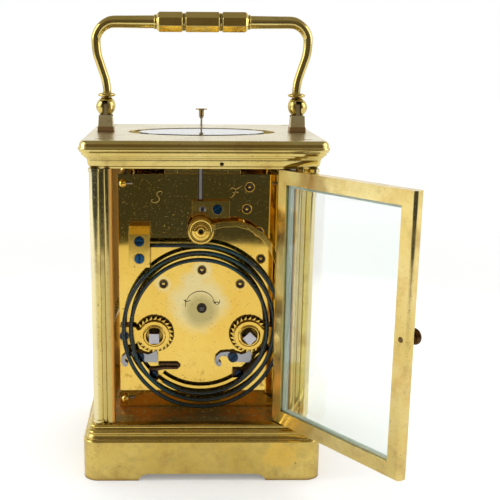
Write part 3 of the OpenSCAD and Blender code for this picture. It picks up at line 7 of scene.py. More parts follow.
# %% Load the frame
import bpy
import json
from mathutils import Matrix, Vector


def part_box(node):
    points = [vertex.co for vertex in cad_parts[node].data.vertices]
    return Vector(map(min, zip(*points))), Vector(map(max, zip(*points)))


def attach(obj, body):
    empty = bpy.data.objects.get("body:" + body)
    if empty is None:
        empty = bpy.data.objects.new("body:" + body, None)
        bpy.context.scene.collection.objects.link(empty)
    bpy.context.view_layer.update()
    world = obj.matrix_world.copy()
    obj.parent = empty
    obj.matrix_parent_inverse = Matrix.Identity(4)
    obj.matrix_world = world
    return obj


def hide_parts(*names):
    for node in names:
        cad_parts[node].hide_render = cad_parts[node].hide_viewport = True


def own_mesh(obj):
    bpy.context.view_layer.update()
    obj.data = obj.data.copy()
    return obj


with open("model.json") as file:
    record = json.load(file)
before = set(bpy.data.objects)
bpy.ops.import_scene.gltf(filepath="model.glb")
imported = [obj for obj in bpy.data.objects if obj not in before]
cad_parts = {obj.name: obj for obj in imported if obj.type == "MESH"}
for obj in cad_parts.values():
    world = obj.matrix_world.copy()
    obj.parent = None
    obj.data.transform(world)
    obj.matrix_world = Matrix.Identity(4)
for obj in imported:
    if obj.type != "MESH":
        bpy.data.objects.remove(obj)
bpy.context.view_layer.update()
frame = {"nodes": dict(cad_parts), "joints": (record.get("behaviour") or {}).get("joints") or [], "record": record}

print(len(frame["nodes"]), "nodes to dress")

# %% [markdown]
# ## Places that belong to the frame
# Where a wheel turns, and how far a door opens, is already settled in the frame. Such places could be typed
# again here, but a copy goes stale as soon as the clock changes, so they are asked for by the joint's name.
# The levels of faces are typed, starting with the back face of the plate. Everything drawn in this notebook
# is in millimetres, and becomes metres only when it is kept as a mesh.

# %% Axes and levels in millimetres
import json
import math
import bpy
import bmesh
from mathutils import Matrix, Vector

MM = 0.001
JOINTS = {joint["name"]: joint for joint in frame["joints"]}


def axis_of(joint):
    """X, Y and Z of a joint of the frame."""
    return [round(c / MM, 3) for c in JOINTS[joint]["pos_m"]]


PLATE_Y = 21.0
CENTRE_Z = axis_of("centre_turn")[2]
WIND_X, _, WIND_Z = axis_of("time_wind")
print("back face of the plate at Y", PLATE_Y, "and centre arbor at Z", CENTRE_Z)
print("winding arbors at X", WIND_X, "and", -WIND_X, "at Z", WIND_Z)

# %% [markdown]
# ## Small workshop tools
# A turned part is a profile that goes round an axis, a bent rod is a ring that travels along a line, and a
# fretted plate is an outline with a thickness. Modifiers could make all three, but a few short functions
# say exactly which points are wanted, and they keep the pieces light. The first tool turns points and faces
# into a piece that rides on its body and takes its finish, the second one breaks sharp edges.

# %% One way to keep a mesh
SAME_POINT, WELD_GAP, ONE_PLANE = 0.0001, 0.002, 0.2


def keep_mesh(name, points, faces, body, slot, smooth=True, finish=None, edge=0.0, angle=40):
    """A new piece of the clock, in millimetres, that rides on a body of the frame."""
    mesh = bpy.data.meshes.new(name)
    mesh.from_pydata([Vector(p) * MM for p in points], [], faces)
    fix = bmesh.new()
    fix.from_mesh(mesh)
    bmesh.ops.remove_doubles(fix, verts=fix.verts, dist=SAME_POINT * MM)
    bmesh.ops.recalc_face_normals(fix, faces=fix.faces)
    fix.to_mesh(mesh)
    fix.free()
    for face in mesh.polygons:
        face.use_smooth = smooth
    piece = bpy.data.objects.new(name, mesh)
    bpy.context.scene.collection.objects.link(piece)
    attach(piece, body)
    piece.data.materials.append(finish or FINISHES[slot])
    if edge:
        soften(piece, edge, angle)
    return piece


def soften(part, width, angle=38):
    """Rounds every edge whose faces meet at a clear angle, and keeps the flat faces flat."""
    weld = part.modifiers.new("weld", "WELD")
    weld.merge_threshold = WELD_GAP * MM
    whole = part.modifiers.new("whole_faces", "DECIMATE")
    whole.decimate_type = "DISSOLVE"
    whole.angle_limit = math.radians(ONE_PLANE)
    edge = part.modifiers.new("edge", "BEVEL")
    edge.width = width * MM
    edge.segments = 2
    edge.limit_method = "ANGLE"
    edge.angle_limit = math.radians(angle)
    edge.use_clamp_overlap = True
    flat = part.modifiers.new("flat_faces", "WEIGHTED_NORMAL")
    flat.keep_sharp = False


print("points closer than", SAME_POINT, "mm count as one")

# %% [markdown]
# ### Rods
# The bail and the gong are rods that were bent to shape. Blender's curves can be given a round bevel and
# turned into mesh, but the tool below also lets the rod swell and shrink along its way, as a cast one does.

# %% Bent rods
def bent_rod(line, radius, sides=20, up=Vector((0, 1, 0))):
    """Points and faces of a rod along a line; radius is one number, or one for each point."""
    radii = radius if isinstance(radius, list) else [radius] * len(line)
    points, faces = [], []
    for i, at in enumerate(line):
        ahead = (Vector(line[min(i + 1, len(line) - 1)]) - Vector(line[max(i - 1, 0)])).normalized()
        across = ahead.cross(up).normalized()
        lift = across.cross(ahead)
        for k in range(sides):
            turn = math.tau * k / sides
            points.append(Vector(at) + radii[i] * (across * math.cos(turn) + lift * math.sin(turn)))
    for i in range(len(line) - 1):
        for k in range(sides):
            a, b = i * sides + k, i * sides + (k + 1) % sides
            faces.append((a, b, b + sides, a + sides))
    faces.append(tuple(range(sides)))
    faces.append(tuple(range((len(line) - 1) * sides, len(line) * sides)))
    return points, faces


def smooth_line(knots, steps=8):
    """A smooth line through its knots; a knot may carry more numbers than its place."""
    line = []
    knots = [Vector(k) for k in knots]
    for i in range(len(knots) - 1):
        p0, p1 = knots[max(i - 1, 0)], knots[i]
        p2, p3 = knots[i + 1], knots[min(i + 2, len(knots) - 1)]
        for s in range(steps):
            t = s / steps
            line.append(0.5 * (2 * p1 + (p2 - p0) * t + (2 * p0 - 5 * p1 + 4 * p2 - p3) * t * t
                               + (3 * p1 - p0 - 3 * p2 + p3) * t * t * t))
    return line + [knots[-1]]


trial_points, trial_faces = bent_rod([(0, 0, 0), (0, 0, 10)], 1)
print("a straight rod has", len(trial_points), "points and", len(trial_faces), "faces")

# %% [markdown]
# ### Turned parts
# Most small brass on a clock comes off a lathe. A screw modifier would turn a profile too. Here the points
# are listed one by one, so that a ring with a hole, a dome and a collar all come from one function.

# %% Turned parts
def turned_part(profile, place, sides=48, closed=False):
    """Points and faces of a profile of (radius, height) turned round its height.
    The function place maps a turned point into the clock."""
    points, faces = [], []
    for radius, height in profile:
        for k in range(sides):
            turn = math.tau * (k + 0.5) / sides
            points.append(place(radius * math.cos(turn), radius * math.sin(turn), height))
    for i in range(len(profile) - (0 if closed else 1)):
        for k in range(sides):
            a, b = i * sides + k, i * sides + (k + 1) % sides
            c = (i + 1) % len(profile) * sides
            faces.append((a, b, c + (k + 1) % sides, c + k))
    if not closed:
        faces.append(tuple(range(sides)))
        faces.append(tuple(range((len(profile) - 1) * sides, len(profile) * sides)))
    return points, faces


def from_plate(x, z, y):
    """A turner's place on the back plate: heights grow out of the door, from the level y."""
    return lambda u, v, h: (x + u, y + h, z + v)


trial_points, trial_faces = turned_part([(2, 0), (2, 1), (1, 2)], from_plate(0, CENTRE_Z, PLATE_Y))
print("a turned post has", len(trial_points), "points and", len(trial_faces), "faces")

# %% [markdown]
# ### Fretted plates and pen strokes
# A cock is sawn from sheet, and an engraved or printed line is a narrow band with a changing width. Both are
# flat outlines with a little height. A decal would do for the lines, but real bands catch light like metal.

# %% Fretted plates and drawn strokes
def fretted(outline, y0, y1):
    """Points and faces of an outline in X and Z between two levels of Y."""
    n = len(outline)
    points = [(x, y, z) for y in (y0, y1) for x, z in outline]
    sides = [(i, (i + 1) % n, (i + 1) % n + n, i + n) for i in range(n)]
    return points, [tuple(range(n)), tuple(range(n, 2 * n))] + sides


def circle(x, z, radius, count):
    """Points of a circle in X and Z."""
    return [(x + radius * math.cos(math.tau * k / count), z + radius * math.sin(math.tau * k / count))
            for k in range(count)]


def stroke(line, widths):
    """Outline of a pen stroke through [x, z] points, with a width at each of them."""
    line = [Vector(p) for p in line]
    left, right = [], []
    for i, at in enumerate(line):
        ahead = (line[min(i + 1, len(line) - 1)] - line[max(i - 1, 0)]).normalized()
        side = Vector((-ahead.y, ahead.x)) * (widths[i] / 2)
        left.append(at + side)
        right.append(at - side)
    return left, right


def stroke_band(line, widths, y0, y1):
    """Points and faces of a pen stroke as a thin raised band."""
    left, right = stroke(line, widths)
    points, faces = [], []
    for a, b in zip(left, right):
        points += [(a.x, y0, a.y), (b.x, y0, b.y), (b.x, y1, b.y), (a.x, y1, a.y)]
    for i in range(len(left) - 1):
        for k in range(4):
            faces.append((4 * i + k, 4 * i + (k + 1) % 4, 4 * i + 4 + (k + 1) % 4, 4 * i + 4 + k))
    n = 4 * (len(left) - 1)
    faces += [(0, 1, 2, 3), (n, n + 1, n + 2, n + 3)]
    return points, faces


def joined(*solids):
    """Several points-and-faces pairs as one."""
    points, faces = [], []
    for more_points, more_faces in solids:
        start = len(points)
        points += list(more_points)
        faces += [tuple(start + k for k in face) for face in more_faces]
    return points, faces


trial_points, trial_faces = joined(fretted(circle(0, 0, 5, 8), 0, 1), fretted(circle(0, 0, 3, 6), 1, 2))
print("two fretted discs have", len(trial_points), "points and", len(trial_faces), "faces")

# %% [markdown]
# ## Finishes
# Old lacquered brass is never one colour. It has warm and pale clouds, brown stains where hands and damp
# got at it, tiny dark pits, and grime that stays in the corners of mouldings. Each of those is one layer of
# noise over the metal's colour, and the same noise makes the metal a little rougher where it is stained.
# The layers are built with a short helper so that the recipe of each finish stays readable.

# %% A helper that stacks layers of noise
class Finish:
    """A principled material with short names for the nodes that a finish is stacked from."""

    def __init__(self, name):
        self.material = bpy.data.materials.new(name)
        self.material.use_nodes = True
        self.tree = self.material.node_tree
        self.shader = self.tree.nodes["Principled BSDF"]
        self.place = self.tree.nodes.new("ShaderNodeTexCoord").outputs["Object"]

    def node(self, kind, settings=(), **sockets):
        made = self.tree.nodes.new(kind)
        for key, value in dict(settings).items():
            setattr(made, key, value)
        for key, value in sockets.items():
            self.feed(made.inputs[key.replace("_", " ")], value)
        return made

    def feed(self, socket, value):
        if isinstance(value, bpy.types.NodeSocket):
            self.tree.links.new(value, socket)
        else:
            socket.default_value = value

    def noise(self, scale, detail=3.0, roughness=0.55):
        """Noise over the part's own coordinates; scale is about how many clouds fit in a metre."""
        made = self.node("ShaderNodeTexNoise", Vector=self.place, Scale=scale, Detail=detail,
                         Roughness=roughness)
        return made.outputs["Fac"]

    def ramp(self, factor, low, high, start=0.0, end=1.0):
        """Stretches the part of a mask between low and high over start to end."""
        made = self.node("ShaderNodeMapRange", {"clamp": True}, Value=factor)
        for name, value in (("From Min", low), ("From Max", high), ("To Min", start), ("To Max", end)):
            made.inputs[name].default_value = value
        return made.outputs["Result"]

    def mix(self, factor, first, second):
        made = self.node("ShaderNodeMix", {"data_type": "RGBA"})
        for socket, value in ((made.inputs[0], factor), (made.inputs[6], first), (made.inputs[7], second)):
            self.feed(socket, value)
        return made.outputs[2]

    def reckon(self, how, first, second):
        """A sum, product or maximum of two values, kept between 0 and 1."""
        made = self.node("ShaderNodeMath", {"operation": how, "use_clamp": True})
        self.feed(made.inputs[0], first)
        self.feed(made.inputs[1], second)
        return made.outputs[0]

    def plus(self, first, second):
        return self.reckon("ADD", first, second)

    def times(self, first, second):
        return self.reckon("MULTIPLY", first, second)

    def most(self, first, second):
        return self.reckon("MAXIMUM", first, second)

    def stain(self, colour, where, amount, tone):
        """Lays a tone over a colour where a mask is 1, and by no more than the amount."""
        return self.mix(self.times(where, amount), colour, tone)

    def relief(self, height, depth, strength=1.0, under=None):
        """A bump from a mask, of a depth in metres, over another bump if there is one."""
        made = self.node("ShaderNodeBump", Height=height, Distance=depth, Strength=strength)
        if under is not None:
            self.feed(made.inputs["Normal"], under)
        return made.outputs["Normal"]

    def corner(self, reach):
        """Darker where something stands close, as grime on brass and painted shade on steel: 1 in a tight corner,
        0 in the open.
        """
        made = self.node("ShaderNodeAmbientOcclusion", {"samples": 6, "inside": False}, Distance=reach)
        return self.ramp(made.outputs["AO"], 0.78, 0.3)

    def around(self, x, z, inner, outer, ragged=1.5, scale=240):
        """1 within inner millimetres of a point of the back plate, 0 beyond outer, with a ragged edge."""
        flat = self.node("ShaderNodeMapping", Vector=self.place, Scale=(1, 0, 1)).outputs["Vector"]
        far = self.node("ShaderNodeVectorMath", {"operation": "DISTANCE"})
        self.feed(far.inputs[0], flat)
        far.inputs[1].default_value = (x * MM, 0, z * MM)
        worn = self.node("ShaderNodeMath", {"operation": "MULTIPLY_ADD"})
        self.feed(worn.inputs[0], self.noise(scale, 4, 0.6))
        worn.inputs[1].default_value = 2 * ragged * MM
        self.feed(worn.inputs[2], far.outputs["Value"])
        return self.ramp(worn.outputs[0], (inner + ragged) * MM, (outer + ragged) * MM, 1.0, 0.0)

    def band(self, axis, low, high, blur):
        """1 between two levels of one axis, in millimetres."""
        level = self.node("ShaderNodeSeparateXYZ", Vector=self.place).outputs[axis]
        up = self.ramp(level, (low - blur) * MM, (low + blur) * MM)
        down = self.ramp(level, (high - blur) * MM, (high + blur) * MM, 1.0, 0.0)
        return self.times(up, down)


# %% [markdown]
# ### Aged brass
# Brass that was lacquered and polished for a century has big soft clouds, finer mottling, brown stains, pits
# and grime, each at its own scale. A painted picture could show them, but noise over the part's own
# coordinates has no seams and stays sharp close up. Where the colour is stained the metal is duller too,
# because that is what makes a stain look like part of the surface. A part's own history goes in between.

# %% Aged brass, from one recipe with its own clouds, stains and polish
PIT, GRIME, DUST = (0.13, 0.07, 0.02, 1), (0.12, 0.065, 0.02, 1), (0.52, 0.42, 0.2, 1)
PIT_DEPTH, DUST_METAL = 0.00003, 0.35


def aged_brass(name, bright, deep, stain, polish=0.14, dull=0.12, stains=0.55, pits=0.68, wave=0.0002,
               grime=0.0018, history=None, dust=0.0):
    """Brass in two tones and a stain. A lower stains or pits gives more of them, and dust is a share."""
    f = Finish(name)
    colour = f.mix(f.ramp(f.noise(30, 4, 0.6), 0.32, 0.66), bright, deep)
    colour = f.stain(colour, f.ramp(f.noise(420, 4, 0.65), 0.35, 0.72), 0.3, deep)
    mottle = f.ramp(f.noise(95, 6, 0.62), stains, stains + 0.2)
    colour = f.stain(colour, mottle, 0.6, stain)
    specks = f.ramp(f.noise(1500, 2, 0.5), pits, pits + 0.05)
    colour = f.stain(colour, specks, 0.65, PIT)
    worn = 0.0
    if history:
        colour, worn = history(f, colour)
    corner_grime_and_shade = f.corner(grime)
    colour = f.stain(colour, corner_grime_and_shade, 0.85, GRIME)
    f.shader.inputs["Metallic"].default_value = 1.0
    rough = f.plus(f.ramp(f.noise(60, 4), 0.3, 0.75, polish, polish + dull), f.times(mottle, dull))
    rough = f.plus(f.plus(rough, f.ramp(f.noise(1100, 2), 0.5, 0.75, 0.0, 0.5 * dull)), worn)
    if dust:
        grains = f.ramp(f.noise(1900, 1.5, 0.5), 1 - dust, 1.04 - dust)
        colour = f.mix(grains, colour, DUST)
        f.feed(f.shader.inputs["Metallic"], f.ramp(grains, 0.0, 1.0, 1.0, DUST_METAL))
        rough = f.plus(rough, f.times(grains, 0.5))
    f.feed(f.shader.inputs["Base Color"], colour)
    f.feed(f.shader.inputs["Roughness"], f.plus(rough, f.times(corner_grime_and_shade, 0.3)))
    waves = f.relief(f.noise(42, 2), wave * 4, 0.5)
    f.feed(f.shader.inputs["Normal"], f.relief(specks, -PIT_DEPTH, 0.6, waves))
    return f.material


# %% [markdown]
# ### Steel
# Springs, screws and arbors are steel. Some are polished bright, some are heated until they turn blue, and
# the gong is nearly black. It is one recipe again, with a pale and a dark tone, a trace of rust, a grain so
# fine that the eye reads it as brushing, and painted shade that fills the screw slots and tight corners.

# %% Steel, blued steel and the gong's wire
RUST, SLOT_SHADE = (0.13, 0.07, 0.035, 1), (0.015, 0.012, 0.01, 1)
GRAIN, GRAIN_DEPTH, GRAIN_RELIEF = 900, 0.00001, 0.04


def worked_steel(name, pale, dark, polish, dull, tint=None, tarnish=0.6, slot_shade=0.0008, history=None):
    """Steel in a pale and a dark tone, from its smoothest polish to that much duller."""
    f = Finish(name)
    colour = f.mix(f.ramp(f.noise(70, 4), 0.35, 0.7), pale, dark)
    if tint:
        colour = f.mix(f.ramp(f.noise(38, 3), 0.5, 0.66, 0, 0.85), colour, tint)
    rust = f.ramp(f.noise(420, 4, 0.6), tarnish, tarnish + 0.14, 0, 0.4)
    colour = f.mix(rust, colour, RUST)
    if history:
        colour = history(f, colour)
    # Painted shade: the steel is darkened nearly to black in its screw slots and other tight corners.
    corner_grime_and_shade = f.corner(slot_shade)
    colour = f.stain(colour, corner_grime_and_shade, 0.9, SLOT_SHADE)
    f.feed(f.shader.inputs["Base Color"], colour)
    f.shader.inputs["Metallic"].default_value = 1.0
    rough = f.plus(f.ramp(f.noise(GRAIN, 2), 0.3, 0.7, polish, polish + dull), f.times(rust, 0.5))
    f.feed(f.shader.inputs["Roughness"], f.plus(rough, f.times(corner_grime_and_shade, 0.3)))
    f.feed(f.shader.inputs["Normal"], f.relief(f.noise(GRAIN, 3), GRAIN_DEPTH, GRAIN_RELIEF))
    return f.material


# %% [markdown]
# ### Glass, enamel and filled lines
# The glass is old plate glass with ground bevels. It is left clear and slightly green, with a trace of haze.
# Enamel is a glassy white with the faintest warmth, and it needs gloss more than it needs texture. Ink, old
# oil, dark painted shade in holes and along the index rod, and bright cuts are small, so one plain recipe
# with a little noise is enough for them.

# %% Glass, enamel and filled lines
def plate_glass(name):
    """Clear, slightly green glass with a trace of haze."""
    f = Finish(name)
    haze = f.ramp(f.noise(35, 4), 0.4, 0.8, 0.0, 0.03)
    tone = f.ramp(f.noise(12, 2), 0.3, 0.8)
    f.feed(f.shader.inputs["Base Color"], f.mix(tone, (0.95, 0.985, 0.965, 1), (0.88, 0.96, 0.92, 1)))
    f.shader.inputs["Coat Weight"].default_value = 0.7
    f.feed(f.shader.inputs["Roughness"], haze)
    f.shader.inputs["IOR"].default_value = 1.5
    f.shader.inputs["Transmission Weight"].default_value = 1.0
    return f.material


def fired_enamel(name):
    """Glossy warm white, barely uneven."""
    f = Finish(name)
    colour = f.mix(f.ramp(f.noise(40, 4), 0.35, 0.75), (0.92, 0.91, 0.87, 1), (0.87, 0.86, 0.80, 1))
    f.feed(f.shader.inputs["Base Color"], colour)
    f.feed(f.shader.inputs["Roughness"], f.ramp(f.noise(300, 3), 0.3, 0.8, 0.12, 0.25))
    f.shader.inputs["Coat Weight"].default_value = 0.4
    f.feed(f.shader.inputs["Normal"], f.relief(f.noise(60, 2), 0.0001, 0.3))
    return f.material


def filled_engraving(name, tone, metal=0.0):
    """One tone and a paler one, for whatever is too small to need more."""
    f = Finish(name)
    paler = tuple(c * 1.5 for c in tone[:3]) + (1,)
    f.feed(f.shader.inputs["Base Color"], f.mix(f.noise(800, 3), tone, paler))
    f.shader.inputs["Metallic"].default_value = metal
    f.feed(f.shader.inputs["Roughness"], f.ramp(f.noise(500, 2), 0.3, 0.7, 0.35, 0.55))
    return f.material


# %% [markdown]
# ### What each part has been through
# The back plate has its own history. Oil and a thumb have dulled the brass round the hand-setting square,
# each pivot has a pale halo where it was cleaned, and the lower edge is peppered with rust. Behind the
# ratchets the plate carries painted shade, and is greasy there too. The base, roof, lugs, pillars, door,
# button and screws have theirs, and the outer faces of the pillars carry a painted highlight. Such marks
# could be painted on, but here they are tied to the clock's own coordinates, so they stay on the metal
# wherever it is seen from. Each history gets a finish and the colour so far, and gives back a new colour;
# for brass it also says how much duller it is.

# %% Wear of the back plate
TRAIN = ("fly_turn", "warning_turn", "gathering_turn", "pin_turn", "third_turn", "second_turn",
         "strike_second_turn")
PIVOTS = {name: (axis_of(name)[0], axis_of(name)[2]) for name in TRAIN}


def plate_history(f, colour):
    """Pale halos where it was cleaned, a dull setting square, rust low down, and painted shade behind the
    ratchets, where they are also greasy.
    """
    halo = f.around(1, 69, 8, 14, 6, 110)
    halo = f.most(halo, f.around(4, 79, 3, 7, 6, 110))
    for name, reach in (("third_turn", 5), ("second_turn", 4), ("strike_second_turn", 2.6)):
        halo = f.most(halo, f.around(*PIVOTS[name], reach * 0.5, reach, 1.2))
    colour = f.stain(colour, halo, 0.8, (0.74, 0.64, 0.33, 1))
    colour = f.stain(colour, f.around(0.3, 66.2, 4.6, 8.6, 1.2), 0.8, (0.40, 0.33, 0.12, 1))
    low = f.times(f.ramp(f.noise(260, 4, 0.7), 0.56, 0.66), f.band("Z", 20, 40, 6))
    colour = f.stain(colour, low, 0.7, (0.30, 0.13, 0.03, 1))
    # Painted shade, greasy too: the plate is dark within 8.1 mm of each winding arbor, behind the ratchet teeth.
    ratchet_shade_and_grease = f.most(f.around(WIND_X, WIND_Z, 8.1, 8.4, 0.3), f.around(-WIND_X, WIND_Z, 8.1, 8.4, 0.3))
    return f.stain(colour, ratchet_shade_and_grease, 0.9, (0.05, 0.03, 0.012, 1)), f.times(ratchet_shade_and_grease, 0.3)


print("plate history round", len(PIVOTS), "pivots")


# %% Wear of the case
def base_history(f, colour):
    """An orange bloom on one corner of the base, and the dull, dusty floor inside the case."""
    cloudy = f.ramp(f.noise(240, 6, 0.72), 0.46, 0.62)
    colour = f.stain(colour, cloudy, 0.45, (0.50, 0.37, 0.12, 1))
    spots = f.ramp(f.noise(430, 2, 0.5), 0.715, 0.74)
    colour = f.stain(colour, spots, 0.75, (0.14, 0.09, 0.03, 1))
    patchy = f.ramp(f.noise(330, 4, 0.6), 0.3, 0.5, 0.5, 1.0)
    bloom = f.times(f.around(-33, 11.5, 4.6, 7.4, 11, 120), patchy)
    colour = f.stain(colour, bloom, 0.75, (0.84, 0.545, 0.10, 1))
    colour = f.stain(colour, f.band("Z", -2, 0.8, 0.8), 0.5, (0.42, 0.22, 0.08, 1))
    floor = f.times(f.band("Z", 23.1, 30, 0.1), f.band("X", -37, 37, 0.4))
    floor = f.times(floor, f.band("Y", -35, 37.5, 0.8))
    warm = f.mix(f.ramp(f.noise(60, 5, 0.7), 0.42, 0.56), (0.98, 0.48, 0.12, 1), (0.52, 0.42, 0.19, 1))
    warm = f.mix(f.ramp(f.noise(560, 3, 0.6), 0.6, 0.64), warm, (1.0, 0.86, 0.45, 1))
    return f.mix(floor, colour, warm), f.plus(f.times(floor, 0.2), 0.07)


def roof_history(f, colour):
    """The roof has gone pale and a little cloudy, because that is where dust and polish stay."""
    top = f.band("Z", 138.85, 140, 0.08)
    return f.stain(colour, top, 0.6, (0.92, 0.86, 0.66, 1)), f.times(top, 0.13)


def lug_history(f, colour):
    """The foot of each lug, from Z 138 to 141.2, is dark reddish brown."""
    return f.stain(colour, f.band("Z", 138, 141.2, 0.15), 0.8, (0.40, 0.22, 0.09, 1)), 0.0


def pillar_highlight_and_wear(f, colour):
    """A painted highlight pales the outer faces of the pillars, a band on their inner sides is darker, and inside
    the case the polish was never renewed, so there the pillars are dull and orange.
    """
    # Painted highlight: beyond X 42.4 the outer faces are mixed toward pale brass.
    outer = f.ramp(f.band("X", -42.4, 42.4, 0.4), 0, 1, 0.6, 0)
    colour = f.mix(outer, colour, (0.96, 0.88, 0.58, 1))
    inner = f.most(f.band("X", 36.8, 40.2, 0.3), f.band("X", -40.2, -36.8, 0.3))
    colour = f.stain(colour, inner, 0.5, (0.42, 0.33, 0.12, 1))
    inside = f.most(f.band("X", -36.9, 36.9, 0.25), f.band("Y", -33, -25, 0.3))
    return f.stain(colour, inside, 0.9, (0.80, 0.42, 0.10, 1)), f.times(inside, 0.28)


def door_history(f, colour):
    """Fingers have smeared and spotted the frame of the door."""
    smears = f.ramp(f.noise(70, 5, 0.65), 0.52, 0.66)
    colour = f.stain(colour, smears, 0.5, (0.72, 0.46, 0.13, 1))
    spots = f.ramp(f.noise(300, 3, 0.6), 0.7, 0.74)
    return f.stain(colour, spots, 0.7, (0.24, 0.14, 0.05, 1)), f.times(smears, 0.08)


def button_history(f, colour):
    """The button's head is bronze and its stem is steel."""
    return f.mix(f.band("Z", 100, 143.2, 0.15), colour, (0.50, 0.48, 0.45, 1)), 0.0


def screw_history(f, colour):
    """The screws low on the plate, from Z 30 to 62, are darkened nearly to black."""
    return f.stain(colour, f.band("Z", 30, 62, 1), 0.85, (0.022, 0.024, 0.036, 1))


# %% [markdown]
# ### The stock of finishes
# The record names a material for every part, and each name gets one finish here. Each tone is a colour of
# metal at full polish: two that alternate in clouds, and the tone of its stains. Parts with a history of
# their own get a finish to themselves, so that one part can be changed without touching the others.

# %% One finish for each material of the record
BRASS = ((0.78, 0.64, 0.25, 1), (0.64, 0.48, 0.13, 1), (0.36, 0.21, 0.06, 1))
BASE_BRASS = ((0.80, 0.62, 0.19, 1), (0.66, 0.46, 0.10, 1), (0.36, 0.20, 0.05, 1))
DOOR_TONES = ((0.86, 0.72, 0.33, 1), (0.72, 0.54, 0.17, 1), (0.40, 0.24, 0.07, 1))
LUG_TONES = ((0.90, 0.82, 0.55, 1), (0.76, 0.66, 0.38, 1), (0.40, 0.28, 0.12, 1))
GILT = ((0.87, 0.61, 0.145, 1), (0.78, 0.49, 0.075, 1), (0.48, 0.25, 0.05, 1))
SCREW_BRASS = ((0.70, 0.55, 0.28, 1), (0.5, 0.36, 0.16, 1), (0.3, 0.18, 0.07, 1))
BRONZE = ((0.20, 0.115, 0.06, 1), (0.09, 0.05, 0.025, 1), (0.33, 0.2, 0.09, 1))
BUTTON_BRONZE = ((0.52, 0.40, 0.20, 1), (0.36, 0.26, 0.12, 1), (0.2, 0.12, 0.05, 1))
POLISHED = {"polish": 0.08, "dull": 0.09, "wave": 0.0001}
FINISHES = {
    "case_brass": aged_brass("polished_case_brass", *BRASS, **POLISHED),
    "gilt_brass": aged_brass("lacquered_movement_brass", *GILT, polish=0.08, dull=0.08, stains=0.62,
                             pits=0.68, wave=0.00006),
    "screw_brass": aged_brass("screw_brass", *SCREW_BRASS, polish=0.2),
    "dark_bronze": aged_brass("dark_bronze", *BRONZE, polish=0.22),
    "polished_steel": worked_steel("polished_steel", (0.37, 0.37, 0.38, 1), (0.27, 0.27, 0.28, 1), 0.14,
                                   0.06),
    "blued_steel": worked_steel("blued_steel", (0.035, 0.14, 0.26, 1), (0.02, 0.05, 0.11, 1), 0.2, 0.12,
                                tarnish=0.66),
    "gong_steel": worked_steel("gong_steel", (0.068, 0.084, 0.086, 1), (0.042, 0.05, 0.052, 1), 0.24, 0.12,
                               tint=(0.04, 0.095, 0.115, 1), tarnish=0.62),
    "bevelled_glass": plate_glass("bevelled_glass"),
    "white_enamel": fired_enamel("white_enamel"),
}
print("finishes", sorted(FINISHES))

# %% Finishes of parts with a history, and of small details
WORN_PLATE = aged_brass("worn_back_plate", *GILT, polish=0.03, dull=0.035, stains=0.68, pits=0.7,
                        wave=0.00002, grime=0.0011, history=plate_history, dust=0.29)
STAINED_BASE = aged_brass("stained_base_brass", *BASE_BRASS, **POLISHED, history=base_history)
CLOUDY_ROOF = aged_brass("cloudy_roof_brass", *BRASS, **POLISHED, history=roof_history)
DULL_PILLAR = aged_brass("pillar_brass", *BRASS, **POLISHED, history=pillar_highlight_and_wear)
DOOR_BRASS = aged_brass("door_brass", *DOOR_TONES, polish=0.1, dull=0.1, wave=0.00018, history=door_history)
SATIN_LUG = aged_brass("satin_lug_brass", *LUG_TONES, polish=0.42, dull=0.1, history=lug_history)
BUTTON = aged_brass("button_bronze", *BUTTON_BRONZE, polish=0.22, history=button_history)
SCREW_BLUE = worked_steel("fire_blued_screws", (0.035, 0.15, 0.27, 1), (0.015, 0.05, 0.11, 1), 0.1, 0.06,
                          tarnish=0.7, history=screw_history)
SATIN_STEEL = worked_steel("satin_index_steel", (0.46, 0.44, 0.42, 1), (0.33, 0.31, 0.29, 1), 0.36, 0.06)
SPRING_BLACK = worked_steel("dark_spring_steel", (0.085, 0.05, 0.03, 1), (0.04, 0.025, 0.015, 1), 0.2, 0.1)
PALE_STEEL = worked_steel("bright_square_steel", (0.52, 0.50, 0.52, 1), (0.34, 0.32, 0.34, 1), 0.08, 0.06,
                          slot_shade=0.002)
DARK_STEEL = worked_steel("dark_square_steel", (0.13, 0.12, 0.12, 1), (0.07, 0.065, 0.065, 1), 0.14, 0.06)
INK = filled_engraving("filled_engraving", (0.02, 0.014, 0.01, 1))
BRIGHT_CUT = filled_engraving("bright_engraving", (0.55, 0.36, 0.09, 1), 1.0)
# This dark finish is old oil in the bushes, and painted shade in holes and along the index rod.
OIL_AND_SHADE = filled_engraving("old_oil_and_painted_shade", (0.035, 0.022, 0.01, 1))
GROUND_EDGE = filled_engraving("ground_glass_edge", (0.50, 0.58, 0.48, 1))
print("materials in all", len(bpy.data.materials))

# %% [markdown]
# ## Soft edges on the machined parts
# No real edge is perfectly sharp, and on metal it is the thin bright line along the edge that says so.
# Modelling every rounding by hand would take days. A bevel modifier rounds each edge whose faces meet at a
# clear angle, and smooth shading with weighted normals keeps the flat faces flat.

# %% Dress the frame's own parts
THIN_EDGE = 0.06
SOFT_EDGE = {"base": 0.35, "cornice": 0.22, "case_pillars": 0.15, "door_frame": 0.3, "handle_lugs": 0.3,
             "back_plate": 0.12, "gong_block": 0.25, "contrate_cock": 0.2, "time_winding_arbor": 0.15,
             "strike_winding_arbor": 0.15, "hammer": 0.2, "repeat_button": 0.12, "plate_screws": 0.12}
OWN_FINISH = {"back_plate": WORN_PLATE, "base": STAINED_BASE, "cornice": CLOUDY_ROOF,
              "handle_lugs": SATIN_LUG, "plate_screws": SCREW_BLUE, "click_springs": SPRING_BLACK,
              "repeat_button": BUTTON, "time_winding_arbor": PALE_STEEL,
              "strike_winding_arbor": PALE_STEEL, "index_arm": SATIN_STEEL,
              "case_pillars": DULL_PILLAR, "door_frame": DOOR_BRASS}
slot_of = {row["node"]: row["material_slot"] for row in frame["record"]["subparts"]}
